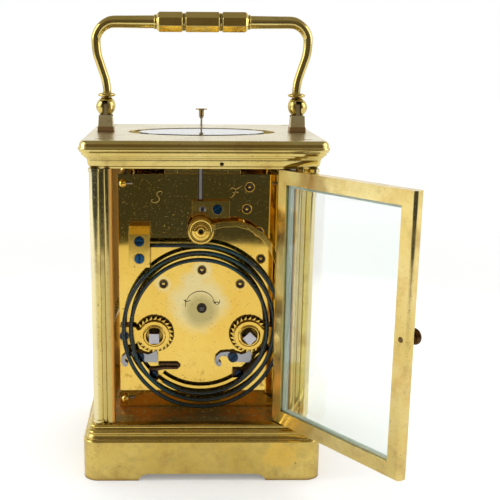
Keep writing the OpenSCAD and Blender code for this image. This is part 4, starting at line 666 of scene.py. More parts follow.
for name, part in frame["nodes"].items():
    part.data.materials.clear()
    part.data.materials.append(OWN_FINISH.get(name, FINISHES[slot_of[name]]))
    if "custom_normal" in part.data.attributes:
        part.data.attributes.remove(part.data.attributes["custom_normal"])
    for face in part.data.polygons:
        face.use_smooth = True
    soften(part, SOFT_EDGE.get(name, THIN_EDGE))
print("dressed", len(slot_of), "parts")

# %% [markdown]
# ## The bail
# A carriage clock is carried by its bail. The rod is cast, so it swells gently from the collars over the
# bends towards the grip, which no plain pipe does. A line with a radius at every knot makes that swell, and
# the frame's plain rod gives way to it.

# %% Swelling rod of the bail
PIVOT_X, PIVOT_Z, GRIP_Z = 40.4, axis_of("handle_fold")[2], 183.8
GRIP_L, GRIP_W, BALL_R = 38.8, 8.1, 4.1
BEND_X, BEND_R = 36.0, 8.0
ROD_AT_BEND, ROD_SWELL = 1.9, 0.0068
LEG_X_RISE_R = [(39.7, 4.6, 1.72), (39.7, 7, 1.74), (40.3, 11, 1.76), (42.2, 17, 1.8), (43.53, 21.5, 1.86)]
TOP_X_R = [(31, 2.52), (25, 2.6), (GRIP_L / 2 - 1, 2.66)]


def bail_leg(side):
    """One leg, its bend and its part of the top; every knot holds X, Z and the rod's radius there."""
    knots = [(x, PIVOT_Z + rise, radius) for x, rise, radius in LEG_X_RISE_R]
    for angle in (6, 25, 45, 65, 84):
        turn = math.radians(angle)
        knots.append((BEND_X + BEND_R * math.cos(turn), GRIP_Z - BEND_R + BEND_R * math.sin(turn),
                      ROD_AT_BEND + ROD_SWELL * angle))
    knots += [(x, GRIP_Z, radius) for x, radius in TOP_X_R]
    line = smooth_line(knots, 6)
    return bent_rod([(side * p[0], 0, p[1]) for p in line], [p[2] for p in line], 28)


# %% [markdown]
# The grip is three lengths of eight-sided bar with rounded shoulders, and a bead sits in each groove
# between them. Eight flats are drawn as eight corners, so the bevel modifier can break each corner softly.

# %% Eight-sided grip with its beads
PLAIN_END = [(0, 0.95), (0.12, 0.5), (0.35, 0.18), (0.7, 0)]
SHOULDER = [(0, 1.35), (0.5, 0.8), (1.0, 0.28), (1.5, 0)]
HALF_MIDDLE, GROOVE, END_GAP = 7.2, 0.75, 0.35
BEAD_W, BEAD_R, END_BEAD_W, END_BEAD_R = 0.7, 3.72, 0.9, 3.05
BEAD_EASE, BEAD_BORE, CORE_R, CORE_SHORT = 0.25, 1, 2.9, 0.5


def eight_sided(x0, x1):
    """A length of bar along X. Its ends are lists of (how far in, how much smaller)."""
    corner = GRIP_W / 2 / math.cos(math.pi / 8)
    low_end = SHOULDER if x0 < -GRIP_L / 3 else PLAIN_END
    high_end = SHOULDER if x1 > GRIP_L / 3 else PLAIN_END
    sections = [(x0 + d, corner - less) for d, less in low_end]
    sections += [(x1 - d, corner - less) for d, less in reversed(high_end)]
    turns = [math.radians(22.5 + 45 * k) for k in range(8)]
    points = [(x, r * math.cos(turn), GRIP_Z + r * math.sin(turn)) for x, r in sections for turn in turns]
    faces = [(8 * i + k, 8 * i + (k + 1) % 8, 8 * i + 8 + (k + 1) % 8, 8 * i + 8 + k)
             for i in range(len(sections) - 1) for k in range(8)]
    return points, faces + [tuple(range(8)), tuple(range(8 * len(sections) - 8, 8 * len(sections)))]


def ring_on_grip(x, width, radius):
    """A ring round the grip at X, with eased corners."""
    eased = radius - BEAD_EASE
    profile = [(BEAD_BORE, -width / 2), (eased, -width / 2), (radius, -width / 4), (radius, width / 4),
               (eased, width / 2), (BEAD_BORE, width / 2)]
    return turned_part(profile, lambda u, v, h: (x + h, u, GRIP_Z + v), 40)


outer = GRIP_L / 2
inner = HALF_MIDDLE + GROOVE
bail_slot = slot_of["handle"]
lengths = joined(eight_sided(-outer + END_GAP, -inner), eight_sided(-HALF_MIDDLE, HALF_MIDDLE),
                 eight_sided(inner, outer - END_GAP))
grip = keep_mesh("bail_grip", *lengths, "bail", bail_slot, edge=0.22, angle=20)
beads = [ring_on_grip(side * (HALF_MIDDLE + inner) / 2, BEAD_W, BEAD_R) for side in (-1, 1)]
beads += [ring_on_grip(side * (outer + 0.05), END_BEAD_W, END_BEAD_R) for side in (-1, 1)]
core = [(CORE_R, -outer + CORE_SHORT), (CORE_R, outer - CORE_SHORT)]
beads.append(turned_part(core, lambda u, v, h: (h, u, GRIP_Z + v), 32))
rings = keep_mesh("bail_grip_rings", *joined(*beads), "bail", bail_slot, edge=0.1, angle=30)
print("grip", GRIP_L, "mm long and", GRIP_W, "mm across flats, with", len(beads) - 1, "rings")

# %% [markdown]
# Under each leg come a thin collar, a narrow neck and a ball that straddles the lug's tongue. All three are
# one turned profile. The slot for the tongue is sawn out with a boolean, as it would be at the bench.

# %% Collars and slotted balls
NECK = [(1.95, 0.15), (1.9, 0.3), (2.8, 0.4), (3.4, 0.6), (3.66, 1.0), (3.62, 1.35), (3.3, 1.65),
        (2.6, 1.85), (1.95, 2.0), (1.72, 2.4), (1.4, 2.6)]
NECK_ANGLE, LEAN = 28, 0.7 / 6
HALF_SLOT, SLOT_TOP, SAW_REACH = 1.1, 2.4, 6


def collar_and_ball(side):
    """One turned piece round the bail's pivot, which leans in a little to meet its leg."""
    ball = [(BALL_R * math.sin(math.radians(a)), -BALL_R * math.cos(math.radians(a)))
            for a in range(8, 153, 8)]
    top = BALL_R * math.cos(math.radians(NECK_ANGLE))
    profile = [(0.3, -BALL_R)] + ball + [(r, top + h) for r, h in NECK]
    return turned_part(profile,
                       lambda u, v, h: (side * (PIVOT_X - LEAN * max(0, h)) + u, v, PIVOT_Z + h), 48)


def sawn(piece, low, high):
    """Takes a box out of a piece, in millimetres, and keeps the result as plain mesh."""
    corners = [(x, y, z) for x in (low[0], high[0]) for y in (low[1], high[1]) for z in (low[2], high[2])]
    saw_mesh = bpy.data.meshes.new("saw")
    sides = [(0, 1, 3, 2), (4, 6, 7, 5), (0, 4, 5, 1), (2, 3, 7, 6), (0, 2, 6, 4), (1, 5, 7, 3)]
    saw_mesh.from_pydata([Vector(c) * MM for c in corners], [], sides)
    even = bmesh.new()
    even.from_mesh(saw_mesh)
    bmesh.ops.recalc_face_normals(even, faces=even.faces)
    even.to_mesh(saw_mesh)
    even.free()
    saw = bpy.data.objects.new("saw", saw_mesh)
    bpy.context.scene.collection.objects.link(saw)
    cut = piece.modifiers.new("slot", "BOOLEAN")
    cut.object = saw
    cut.operation = "DIFFERENCE"
    cut.solver = "EXACT"
    made = bpy.data.meshes.new_from_object(piece.evaluated_get(bpy.context.evaluated_depsgraph_get()))
    piece.modifiers.clear()
    piece.data = made
    bpy.data.objects.remove(saw)


legs = []
for side, word in ((1, "left"), (-1, "right")):
    ball = keep_mesh("bail_ball_" + word, *collar_and_ball(side), "bail", bail_slot)
    middle = side * PIVOT_X
    sawn(ball, (middle - HALF_SLOT, -SAW_REACH, PIVOT_Z - SAW_REACH),
         (middle + HALF_SLOT, SAW_REACH, PIVOT_Z + SLOT_TOP))
    soften(ball, 0.08, 50)
    legs += [ball, keep_mesh("bail_rod_" + word, *bail_leg(side), "bail", bail_slot)]
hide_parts("handle")
for piece in legs + [rings]:
    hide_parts("handle")
print("bail made of", 2 + len(legs), "pieces")

# %% [markdown]
# ## The gong
# The striking gong is a long hardened wire, coiled flat and blued. The frame draws it with few steps, which
# shows as corners in its reflections. Here the same line is followed in steps of three degrees.

# %% Smooth gong wire
GONG_X, GONG_Y, GONG_Z, WIRE_R = 0.45, 26.5, 59.65, 0.85
GONG_WIDE, GONG_TALL, GONG_PITCH = 34.3, 35.65, 3.0
GONG_TURNS, GONG_STEPS = 2.6, 120
TAIL_X = (25.4, 17.4, 12, 7)

gong_line = [(x, GONG_Y, GONG_Z + GONG_TALL) for x in TAIL_X]
for i in range(1, int(GONG_TURNS * GONG_STEPS) + 1):
    t = i / GONG_STEPS
    turn = math.radians(90 + 360 * t)
    gong_line.append((GONG_X + (GONG_WIDE - GONG_PITCH * t) * math.cos(turn), GONG_Y,
                      GONG_Z + (GONG_TALL - GONG_PITCH * t) * math.sin(turn)))
gong = keep_mesh("gong_wire", *bent_rod(gong_line, WIRE_R, 16), "case", slot_of["gong"])
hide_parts("gong")
wire_length = sum((Vector(a) - Vector(b)).length for a, b in zip(gong_line, gong_line[1:]))
print("gong wire", round(wire_length), "mm long")

# %% [markdown]
# ## The spring that returns the repeat button
# A short steel coil stands in a pocket of the roof, under the button's collar.

# %% Coil that gives way under the button
COIL_WIRE, COIL_TURNS, COIL_STEPS = 0.15, 6, 24

coil_low, coil_high = (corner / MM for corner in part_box("repeat_spring"))
coil_middle = (coil_low + coil_high) / 2
coil_round = (coil_high.x - coil_low.x) / 2 - COIL_WIRE
coil_rise = coil_high.z - coil_low.z - 2 * COIL_WIRE
coil_line = []
for i in range(COIL_TURNS * COIL_STEPS + 1):
    turn = math.tau * i / COIL_STEPS
    coil_line.append((coil_middle.x + coil_round * math.cos(turn),
                      coil_middle.y + coil_round * math.sin(turn),
                      coil_low.z + COIL_WIRE + coil_rise * i / (COIL_TURNS * COIL_STEPS)))
coil = keep_mesh("return_coil", *bent_rod(coil_line, COIL_WIRE, 10, Vector((0, 0, 1))), "case",
                 slot_of["repeat_spring"])
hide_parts("repeat_spring")
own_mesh(coil)

# %% [markdown]
# ## Fittings on the back plate
# The hammer's face is turned: a rim, a groove, and an inner disc with a ring of tiny punched beads round a
# dark hole, darkened by painted shade at its bottom. A bump map would lose the shape close up, so it is one
# profile and eighteen small domes.

# %% Turned face of the hammer
HAMMER = (0.8, 101.95)
FACE_Y, DOME_LIFT, BORE_DEEP = 31.2, 0.08, 1.45
FACE = [(5.0, -0.4), (5.05, 0.0), (4.9, 0.12), (4.3, 0.12), (4.15, 0.02), (4.0, -0.12), (3.75, -0.12),
        (3.6, 0.0), (3.5, 0.1), (1.7, 0.1), (1.6, 0.22), (1.15, 0.22), (1.05, 0.1), (0.95, -0.4)]
DOMES, DOME_RING, DOME = 18, 2.6, [(0.3, 0), (0.24, 0.14), (0.1, 0.2)]
BORE = [(0.97, 0), (0.97, 0.03)]

face = turned_part(FACE, from_plate(*HAMMER, FACE_Y), 64, closed=True)
domes = [turned_part(DOME, from_plate(*at, FACE_Y + DOME_LIFT), 10)
         for at in circle(*HAMMER, DOME_RING, DOMES)]
keep_mesh("hammer_face", *joined(face, *domes), "hammer", slot_of["hammer"])
# Painted shade: a dark disc at the bottom of the bore makes the hole read dark.
keep_mesh("hammer_bore", *turned_part(BORE, from_plate(*HAMMER, FACE_Y - BORE_DEEP), 24),
          "hammer", slot_of["hammer"], finish=OIL_AND_SHADE)
print("hammer face", 2 * FACE[1][0], "mm across, with", len(domes), "domes")

# %% [markdown]
# ### Bushes and their oil
# Each train wheel turns in a bush, a brass ring pressed into the plate, with a sink that holds the oil. The
# ring catches light, and the old oil makes a dark pool round the bright end of the pivot. The plain stud
# beside them is a small turned post.

# %% Bushes with their oil, and the plain stud
BUSH = [(1.72, -0.3), (1.72, 0.02), (1.8, 0.14), (2.0, 0.16), (2.1, 0.08), (2.12, -0.1)]
POOL = [(0.66, 0.0), (0.66, 0.04), (1.3, 0.05), (1.66, 0.16), (1.66, 0.0)]
STUD, STUD_AT = [(1.15, 0), (1.1, 0.3), (0.8, 0.55), (0.35, 0.68), (0.1, 0.7)], (-16.2, 104.0)
SINK = 0.5

bushes = [turned_part(BUSH, from_plate(*at, PLATE_Y), 40, closed=True) for at in PIVOTS.values()]
pools = [turned_part(POOL, from_plate(*at, PLATE_Y - SINK), 32, closed=True) for at in PIVOTS.values()]
keep_mesh("plate_bushes", *joined(*bushes), "case", slot_of["back_plate"])
keep_mesh("oil_pools", *joined(*pools), "case", slot_of["back_plate"], finish=OIL_AND_SHADE)
stud = turned_part(STUD, from_plate(*STUD_AT, PLATE_Y), 28)
keep_mesh("plate_stud", *stud, "case", slot_of["back_plate"])
print(len(bushes), "bushes")

# %% [markdown]
# ### The setting square
# The hands are set with a key on a square that stands in a dark hole in the plate. The hole's wall and a
# disc under the square are painted shade that darkens the hole, the rim round it is dark with old oil, and
# the square rides on the centre wheel, so that it turns with the hands.

# %% Hole, cap and square
WELL = [(1.45, -0.6), (1.45, 0.02), (1.6, 0.05), (2.05, 0.05), (2.1, -0.05)]
CAP_R, HALF_SQUARE = 2.02, 0.95
CAP_LOW, CAP_HIGH = PLATE_Y + 0.58, PLATE_Y + 0.64
SQUARE_LOW, SQUARE_HIGH = PLATE_Y + 0.6, PLATE_Y + 1.3

# Painted shade on the hole's wall, and old oil on its rim.
well = turned_part(WELL, from_plate(0, CENTRE_Z, PLATE_Y), 40, closed=True)
keep_mesh("setting_hole", *well, "case", slot_of["back_plate"], finish=OIL_AND_SHADE)
# Painted shade: a dark disc under the square covers the hole.
cap = fretted(circle(0, CENTRE_Z, CAP_R, 32), CAP_LOW, CAP_HIGH)
keep_mesh("setting_square_cap", *cap, "centre", slot_of["centre_wheel"], finish=OIL_AND_SHADE)
corners = [(HALF_SQUARE * u, CENTRE_Z + HALF_SQUARE * v) for u, v in ((-1, -1), (1, -1), (1, 1), (-1, 1))]
keep_mesh("setting_square", *fretted(corners, SQUARE_LOW, SQUARE_HIGH), "centre", slot_of["centre_wheel"],
          finish=DARK_STEEL, edge=0.15)
print("setting square", 2 * HALF_SQUARE, "mm wide")

# %% [markdown]
# ### Fine lines round the platform
# The index rod is a flat strip, and painted shade along its two edges makes it read as one. The edge of
# the platform shows as a thin bright line. Both are narrow raised bands, which stay sharp where a texture
# would blur.

# %% Edges of the index rod, outline of the platform
EDGE_X, EDGE_Y, EDGE_Z, EDGE_W = (0.12, 1.66), (22.5, 22.7), (113.6, 134.1), 0.5
BRIM_X, BRIM_NOTCH_X, BRIM_LINE_Z = 15.4, 10.3, 123.65
BRIM_SIDE_Z, BRIM_Y, BRIM_W = (123.6, 125.0), (20.48, 20.56), 0.2

# Painted shade: two dark bands along the edges of the index rod.
edges = [stroke_band([(x, z) for z in EDGE_Z], [EDGE_W] * 2, *EDGE_Y) for x in EDGE_X]
keep_mesh("index_edge_shade", *joined(*edges), "index", slot_of["index_arm"], smooth=False, finish=OIL_AND_SHADE)
lines = [[(-BRIM_X, BRIM_LINE_Z), (BRIM_X, BRIM_LINE_Z)]]
lines += [[(x, z) for z in BRIM_SIDE_Z] for x in (-BRIM_X, -BRIM_NOTCH_X, BRIM_NOTCH_X, BRIM_X)]
outline = [stroke_band(line, [BRIM_W] * 2, *BRIM_Y) for line in lines]
keep_mesh("platform_outline", *joined(*outline), "case", slot_of["platform"], smooth=False,
          finish=BRIGHT_CUT)
print(len(edges), "edges and", len(outline), "lines")

# %% [markdown]
# ### The ring on the contrate cock
# The contrate wheel's arbor runs in a steel ring on its cock, with a dark drop in the middle, old oil and
# painted shade for the pivot hole. Two turned profiles make it: the ring is open in the middle, and the drop
# is closed.

# %% Ring and oil on the contrate cock
CONTRATE, CONTRATE_Y = (0, axis_of("contrate_turn")[2]), 24.0
CONTRATE_RING = [(0.75, 0), (0.75, 0.28), (1.0, 0.36), (1.35, 0.3), (1.5, 0.0)]
CONTRATE_EYE = [(0.76, 0), (0.7, 0.06), (0.1, 0.1)]

ring = turned_part(CONTRATE_RING, from_plate(*CONTRATE, CONTRATE_Y), 36, closed=True)
keep_mesh("contrate_ring", *ring, "case", slot_of["contrate_cock"], finish=FINISHES["polished_steel"])
# Old oil and painted shade: a dark dome fills the ring's hole.
eye = turned_part(CONTRATE_EYE, from_plate(*CONTRATE, CONTRATE_Y), 24)
keep_mesh("contrate_eye", *eye, "case", slot_of["contrate_cock"], finish=OIL_AND_SHADE)
print("contrate ring at Z", CONTRATE[1])

# %% [markdown]
# ## Small things on the case
# A pin head shows in the cove of the cornice, dark with old polish. A narrow gilt border closes the gap
# between the dial mask and the pillars. Flat bars are enough for it, because only its face is seen.

# %% Pin head, and border of the mask
PIN, PIN_AT = [(0.8, -0.4), (0.8, 0.05), (0.6, 0.14), (0.1, 0.18)], (-6.8, 130.0, 39.98)
BORDER_OUT, BORDER_IN, BORDER_Y = 35.4, 33.8, (-32.5, -31.9)
BORDER_FOOT, BORDER_SILL, BORDER_HEAD, BORDER_TOP = 23.5, 25.6, 121.4, 127.9

pin = turned_part(PIN, from_plate(*PIN_AT), 24)
keep_mesh("cornice_pin", *pin, "case", slot_of["cornice"], finish=SPRING_BLACK)
border = []
for low_x, high_x, low_z, high_z in ((-BORDER_OUT, -BORDER_IN, BORDER_FOOT, BORDER_TOP),
                                     (BORDER_IN, BORDER_OUT, BORDER_FOOT, BORDER_TOP),
                                     (-BORDER_IN, BORDER_IN, BORDER_HEAD, BORDER_TOP),
                                     (-BORDER_IN, BORDER_IN, BORDER_FOOT, BORDER_SILL)):
    corners = [(low_x, low_z), (high_x, low_z), (high_x, high_z), (low_x, high_z)]
    border.append(fretted(corners, *BORDER_Y))
keep_mesh("mask_border", *joined(*border), "case", slot_of["dial_mask"], smooth=False)
print("border of", len(border), "bars")

# %% [markdown]
# ### Ground edge of the door's glass
# Where the door's glass enters its groove the eye looks along the ground edge and sees it green. Clear glass
# alone would hide that, so a rim of ground glass lies inside the groove. It is drawn on the closed door, and
# then turned about the hinge pins by as far as the frame holds the door open.

# %% Rim of the door's glass
HINGE_X, HINGE_Y = axis_of("door_hinge")[:2]
DOOR_OPEN = math.radians(-min(JOINTS["door_hinge"]["range_deg"]))
HALF_GLASS = 0.86
RIM_OUT = [(-29.15, 29.25), (29.15, 29.25), (29.15, 122.15), (-29.15, 122.15)]
RIM_IN = [(-26.9, 30.4), (28.5, 30.4), (28.5, 121.0), (-26.9, 121.0)]


def on_open_door(x, y, z):
    """From the closed door to the open one: a turn about the hinge pins."""
    u, v = x - HINGE_X, y - HINGE_Y
    return (HINGE_X + u * math.cos(DOOR_OPEN) - v * math.sin(DOOR_OPEN),
            HINGE_Y + u * math.sin(DOOR_OPEN) + v * math.cos(DOOR_OPEN), z)


rim_points = [on_open_door(x, HINGE_Y + y, z)
              for y in (-HALF_GLASS, HALF_GLASS) for loop in (RIM_OUT, RIM_IN) for x, z in loop]
rim_faces = []
for k in range(4):
    n = (k + 1) % 4
    rim_faces += [(k, n, 4 + n, 4 + k), (8 + k, 8 + n, 12 + n, 12 + k)]
    rim_faces += [(k, n, 8 + n, 8 + k), (4 + k, 4 + n, 12 + n, 12 + k)]
keep_mesh("door_glass_rim", rim_points, rim_faces, "door", slot_of["door_glass"], smooth=False,
          finish=GROUND_EDGE)
print("door open by", round(math.degrees(DOOR_OPEN), 1), "degrees")

# %% [markdown]
# ## Winding cocks
# A cock carries the arbor over each ratchet. On the real one the foot narrows in a double curve before it
# opens into the round head. The frame's cock is a plain bar with a disc, so a fretted outline stands for it.
# An outline with a hole can't be one polygon, so the two loops are filled with triangles and then raised.

# %% Fretted winding cocks
COCK_Y, COCK_T = 23.6, 1.2
COCK_HEAD_R, COCK_HOLE_R, COCK_EDGE = 6.2, 3.4, 0.15
COCK_WAIST = [(14.4, 3.9), (8.6, 3.9), (7.9, 3.7), (7.45, 3.15), (7.1, 2.6), (6.6, 2.4), (6.05, 2.6),
              (5.5, 3.05)]
COCK_FOOT = [(14.4, 3.9), (9, 3.9), (9, -3.9), (14.4, -3.9)]
COLLAR = [(3.4, 1.1), (3.4, 1.5), (3.6, 1.68), (4.3, 1.68), (4.5, 1.5), (4.55, 1.3), (4.75, 1.26),
          (4.9, 1.1)]


def by_winding(side, outline):
    """An outline drawn round the winding arbor, put in its place on one side of the plate."""
    return [(side * (WIND_X + x), WIND_Z + z) for x, z in outline]


def cock(side):
    """The cock's plate with its hole, and the block of its foot."""
    head = [(COCK_HEAD_R * math.cos(math.radians(a)), COCK_HEAD_R * math.sin(math.radians(a)))
            for a in range(36, 325, 9)]
    lower = [(x, -z) for x, z in reversed(COCK_WAIST)]
    hole = circle(side * WIND_X, WIND_Z, COCK_HOLE_R, 48)
    plate = bmesh.new()
    loops = []
    for outline in (by_winding(side, COCK_WAIST + head + lower), hole):
        corners = [plate.verts.new((x * MM, COCK_Y * MM, z * MM)) for x, z in outline]
        loops += [plate.edges.new((a, b)) for a, b in zip(corners, corners[1:] + corners[:1])]
    bmesh.ops.triangle_fill(plate, use_beauty=True, edges=loops)
    raised = bmesh.ops.extrude_face_region(plate, geom=plate.faces[:])["geom"]
    raised_points = [v for v in raised if isinstance(v, bmesh.types.BMVert)]
    bmesh.ops.translate(plate, vec=(0, COCK_T * MM, 0), verts=raised_points)
    points = [v.co / MM for v in plate.verts]
    plate.verts.index_update()
    faces = [tuple(v.index for v in face.verts) for face in plate.faces]
    plate.free()
    return joined((points, faces), fretted(by_winding(side, COCK_FOOT), PLATE_Y, COCK_Y))


cocks = keep_mesh("fretted_winding_cocks", *joined(cock(1), cock(-1)), "case", slot_of["winding_cocks"],
                  edge=COCK_EDGE, angle=40)
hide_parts("winding_cocks")
collars = [turned_part(COLLAR, from_plate(side * WIND_X, WIND_Z, COCK_Y), 56, closed=True)
           for side in (1, -1)]
keep_mesh("cock_collars", *joined(*collars), "case", slot_of["winding_cocks"])
print("winding cocks", len(cocks.data.polygons), "faces")

# %% [markdown]
# ## Engraving
# The letters for slow and fast are script strokes that a graver cut bright into the plate, and the setting
# arrow is cut and filled dark. Each is a smooth line with a pen's changing width, raised by a hair. A letter
# is a few knots in a unit box, so it can be made larger or moved without drawing it again.

# %% Script letters and the setting arrow
LETTER_W, ARROW_W = 0.34, 0.3
SLOW_AT, SLOW_SIZE = (20.6, 112.1), 4.2
FAST_AT, FAST_SIZE = (-11.6, 114.3), 4.0
SLOW = [[(0.88, 0.74), (0.98, 0.9), (0.92, 1.04), (0.72, 1.06), (0.52, 0.92), (0.48, 0.74), (0.58, 0.56),
         (0.7, 0.38), (0.66, 0.16), (0.46, 0.0), (0.18, -0.04), (-0.04, 0.08), (0.0, 0.24), (0.14, 0.25)]]
FAST = [[(-0.1, 0.72), (0.1, 0.95), (0.5, 0.82), (0.85, 0.98), (1.15, 1.25)],
        [(0.55, 0.86), (0.42, 0.5), (0.2, 0.1), (-0.1, -0.1)],
        [(0.15, 0.5), (0.4, 0.44), (0.7, 0.52), (0.75, 0.42)]]
ARROW = [[(6.6, 70.2), (4.9, 72.9), (2.2, 74.4), (-0.6, 74.5), (-3.6, 73.0), (-5.6, 69.9)],
         [(6.9, 67.6), (6.7, 69.6), (6.9, 71.2)], [(7.6, 71.0), (6.6, 70.2), (4.6, 70.6)],
         [(-4.4, 70.6), (-5.6, 69.6), (-6.0, 68.8)], [(-5.0, 69.2), (-6.0, 69.9), (-7.6, 69.6)],
         [(-6.2, 68.6), (-7.2, 69.4), (-7.6, 71.0)]]


def engraved(name, lines, finish, width):
    """Pen strokes on the back plate, thin at both ends and full in the middle."""
    bands = []
    for knots in lines:
        line = smooth_line(knots, 6)
        count = len(line) - 1
        widths = [width * (0.45 + 0.75 * math.sin(math.pi * i / count)) for i in range(count + 1)]
        flat = [Vector((p[0], p[1])) for p in line]
        bands.append(stroke_band(flat, widths, PLATE_Y - 0.02, PLATE_Y + 0.03))
    return keep_mesh(name, *joined(*bands), "case", slot_of["back_plate"], smooth=False, finish=finish)


def letter_at(x, z, size, knots):
    """A letter is drawn in a unit box as seen from behind the clock, where the left is +X."""
    return [(x - size * u, z + size * v) for u, v in knots]


engraved("slow_mark", [letter_at(*SLOW_AT, SLOW_SIZE, k) for k in SLOW], BRIGHT_CUT, LETTER_W)
engraved("fast_mark", [letter_at(*FAST_AT, FAST_SIZE, k) for k in FAST], BRIGHT_CUT, LETTER_W)
engraved("setting_arrow", ARROW, INK, ARROW_W)
print("engraved", len(SLOW) + len(FAST) + len(ARROW), "strokes")

# %% [markdown]
# ## The enamel dial
# The dial is seen from the front. Its Roman hours stand on their circle with their feet to the centre, thick
# strokes falling and thin strokes rising, inside a minute track between two fine rings. A font would be
# quicker, but plain strokes give the narrow hand-drawn figures that belong on such a dial.

# %% Roman hours and the minute track
DIAL_Y, DIAL_Z = -31.2, CENTRE_Z
HOURS = ["XII", "I", "II", "III", "IIII", "V", "VI", "VII", "VIII", "IX", "X", "XI"]
GLYPHS = {"I": ([[(0, 0), (0, 1)]], 0.34), "V": ([[(-0.32, 1), (0, 0)], [(0.3, 1), (0, 0)]], 0.82),
          "X": ([[(-0.32, 1), (0.32, 0)], [(0.3, 1), (-0.3, 0)]], 0.86)}
HOUR_TALL, HOUR_FOOT, HOUR_WIDE = 5.4, 16.5, 2.75
THICK, THIN, SERIF = 0.6, 0.3, 0.2
TRACK_IN, TRACK_OUT, TRACK_W = 23.3, 24.6, 0.12
FIVE_MINUTE_W, MINUTE_W = 0.5, 0.16


def on_dial(angle, across, out):
    """A point of the dial: an angle from twelve, a step across that ray, and a distance out along it."""
    turn = math.radians(90 - angle)
    way, side = Vector((math.cos(turn), math.sin(turn))), Vector((math.sin(turn), -math.cos(turn)))
    return Vector((0, DIAL_Z)) + way * out + side * across


def printed_bar(points, width):
    """A stroke of one width, printed on the enamel."""
    return stroke_band(points, [width] * len(points), DIAL_Y - 0.03, DIAL_Y + 0.02)


printing = []
for hour, word in enumerate(HOURS):
    total = sum(GLYPHS[g][1] for g in word)
    across = -total / 2
    for glyph in word:
        lines, room_for = GLYPHS[glyph]
        for k, line in enumerate(lines):
            middle = across + room_for / 2
            ends = [on_dial(30 * hour, HOUR_WIDE * (middle + u), HOUR_FOOT + HOUR_TALL * v) for u, v in line]
            printing.append(printed_bar(ends, THICK if k == 0 else THIN))
        across += room_for
    for level in (HOUR_FOOT, HOUR_FOOT + HOUR_TALL):
        ends = [on_dial(30 * hour, HOUR_WIDE * s * total / 2, level) for s in (-0.98, 0.98)]
        printing.append(printed_bar(ends, SERIF))
for minute in range(60):
    wide = FIVE_MINUTE_W if minute % 5 == 0 else MINUTE_W
    printing.append(printed_bar([on_dial(6 * minute, 0, radius) for radius in (TRACK_IN, TRACK_OUT)], wide))
for radius in (TRACK_IN, TRACK_OUT):
    printing.append(printed_bar([on_dial(3 * k, 0, radius) for k in range(121)], TRACK_W))
keep_mesh("dial_printing", *joined(*printing), "case", slot_of["dial"], smooth=False, finish=INK)
print("dial strokes", len(printing))

# %% [markdown]
# ## Floor, light and camera
# The clock stands on the near end of a plain pale table. Soft lamps and a pale room light it evenly. Beyond
# the table's edge the room is dim, and overhead too. Only shiny things see that part of the room, and it is
# what gives polished brass its dark bands: the plate shows bright table below and dim room above.

# %% Floor
TABLE_EDGE, TABLE_SIDE, TABLE_BACK = 0.476, 2.5, -3
FADE_FROM, FADE_TO, SHEET_GLOW = 0.28, 0.6, 0.2


def stage_plane(name, corners, material):
    """A plane that belongs to the stage and not to the clock."""
    mesh = bpy.data.meshes.new(name)
    mesh.from_pydata(corners, [], [(0, 1, 2, 3)])
    plane = bpy.data.objects.new(name, mesh)
    bpy.context.scene.collection.objects.link(plane)
    mesh.materials.append(material)
    return plane


paper = Finish("pale_paper")
sheet = paper.mix(paper.noise(6, 3), (0.90, 0.90, 0.89, 1), (0.88, 0.88, 0.87, 1))
paper.shader.inputs["Roughness"].default_value = 0.8
paper.shader.inputs["Specular IOR Level"].default_value = 0.2
path = paper.node("ShaderNodeLightPath").outputs
seen = paper.most(path["Is Camera Ray"], path["Is Transmission Ray"])
away = paper.node("ShaderNodeVectorMath", {"operation": "LENGTH"})
paper.feed(away.inputs[0], paper.place)
far = paper.times(paper.ramp(away.outputs["Value"], FADE_FROM, FADE_TO), seen)
paper.feed(paper.shader.inputs["Base Color"], paper.mix(far, sheet, (0, 0, 0, 1)))
paper.shader.inputs["Emission Color"].default_value = (1, 1, 1, 1)
glow = paper.most(paper.times(seen, SHEET_GLOW), far)
paper.feed(paper.shader.inputs["Emission Strength"], glow)
floor = stage_plane("floor", [(-TABLE_SIDE, TABLE_BACK, 0), (TABLE_SIDE, TABLE_BACK, 0),
                              (TABLE_SIDE, TABLE_EDGE, 0), (-TABLE_SIDE, TABLE_EDGE, 0)], paper.material)
print("table", 2 * TABLE_SIDE, "by", TABLE_EDGE - TABLE_BACK, "m")

# %% [markdown]
# ### The room
# A room could be built with walls, but then its lamps would have to fill it. Here it is only a colour for
# every direction, chosen by what kind of ray asks. The eye sees plain white, matt things are lit by a pale
# grey, and shiny things see the pale room with its dim side and its dim ceiling.

# %% Room, as a colour for every direction
WHITE, MATT_LIGHT = (1, 1, 1, 1), (0.80, 0.80, 0.80, 1)
PALE_ROOM, CEILING = (0.95, 0.95, 0.94, 1), (0.30, 0.28, 0.24, 1)
DIM_LOW, DIM_HIGH = (0.055, 0.063, 0.082, 1), (0.15, 0.115, 0.078, 1)
DIM_FROM, DIM_FULL = 0.42, 0.62
CEILING_FROM, CEILING_FULL = 0.48, 0.7
LOW_FROM, LOW_FULL = -0.09, 0.0

world = bpy.data.worlds.new("pale_room")
world.use_nodes = True
bpy.context.scene.world = world
room = world.node_tree


def room_node(kind, **settings):
    """A node of the room's own tree."""
    made = room.nodes.new(kind)
    for key, value in settings.items():
        setattr(made, key, value)
    return made


def room_ramp(value, low, high):
    """A soft step from 0 to 1 between two levels."""
    made = room_node("ShaderNodeMapRange", clamp=True, interpolation_type="SMOOTHSTEP")
    room.links.new(value, made.inputs["Value"])
    made.inputs["From Min"].default_value = low
    made.inputs["From Max"].default_value = high
    return made.outputs["Result"]


def room_mix(factor, first, second):
    """The first colour where the factor is 0, and the second where it is 1."""
    made = room_node("ShaderNodeMix", data_type="RGBA")
    for socket, value in ((made.inputs[0], factor), (made.inputs[6], first), (made.inputs[7], second)):
        if isinstance(value, bpy.types.NodeSocket):
            room.links.new(value, socket)
        else:
            socket.default_value = value
    return made.outputs[2]


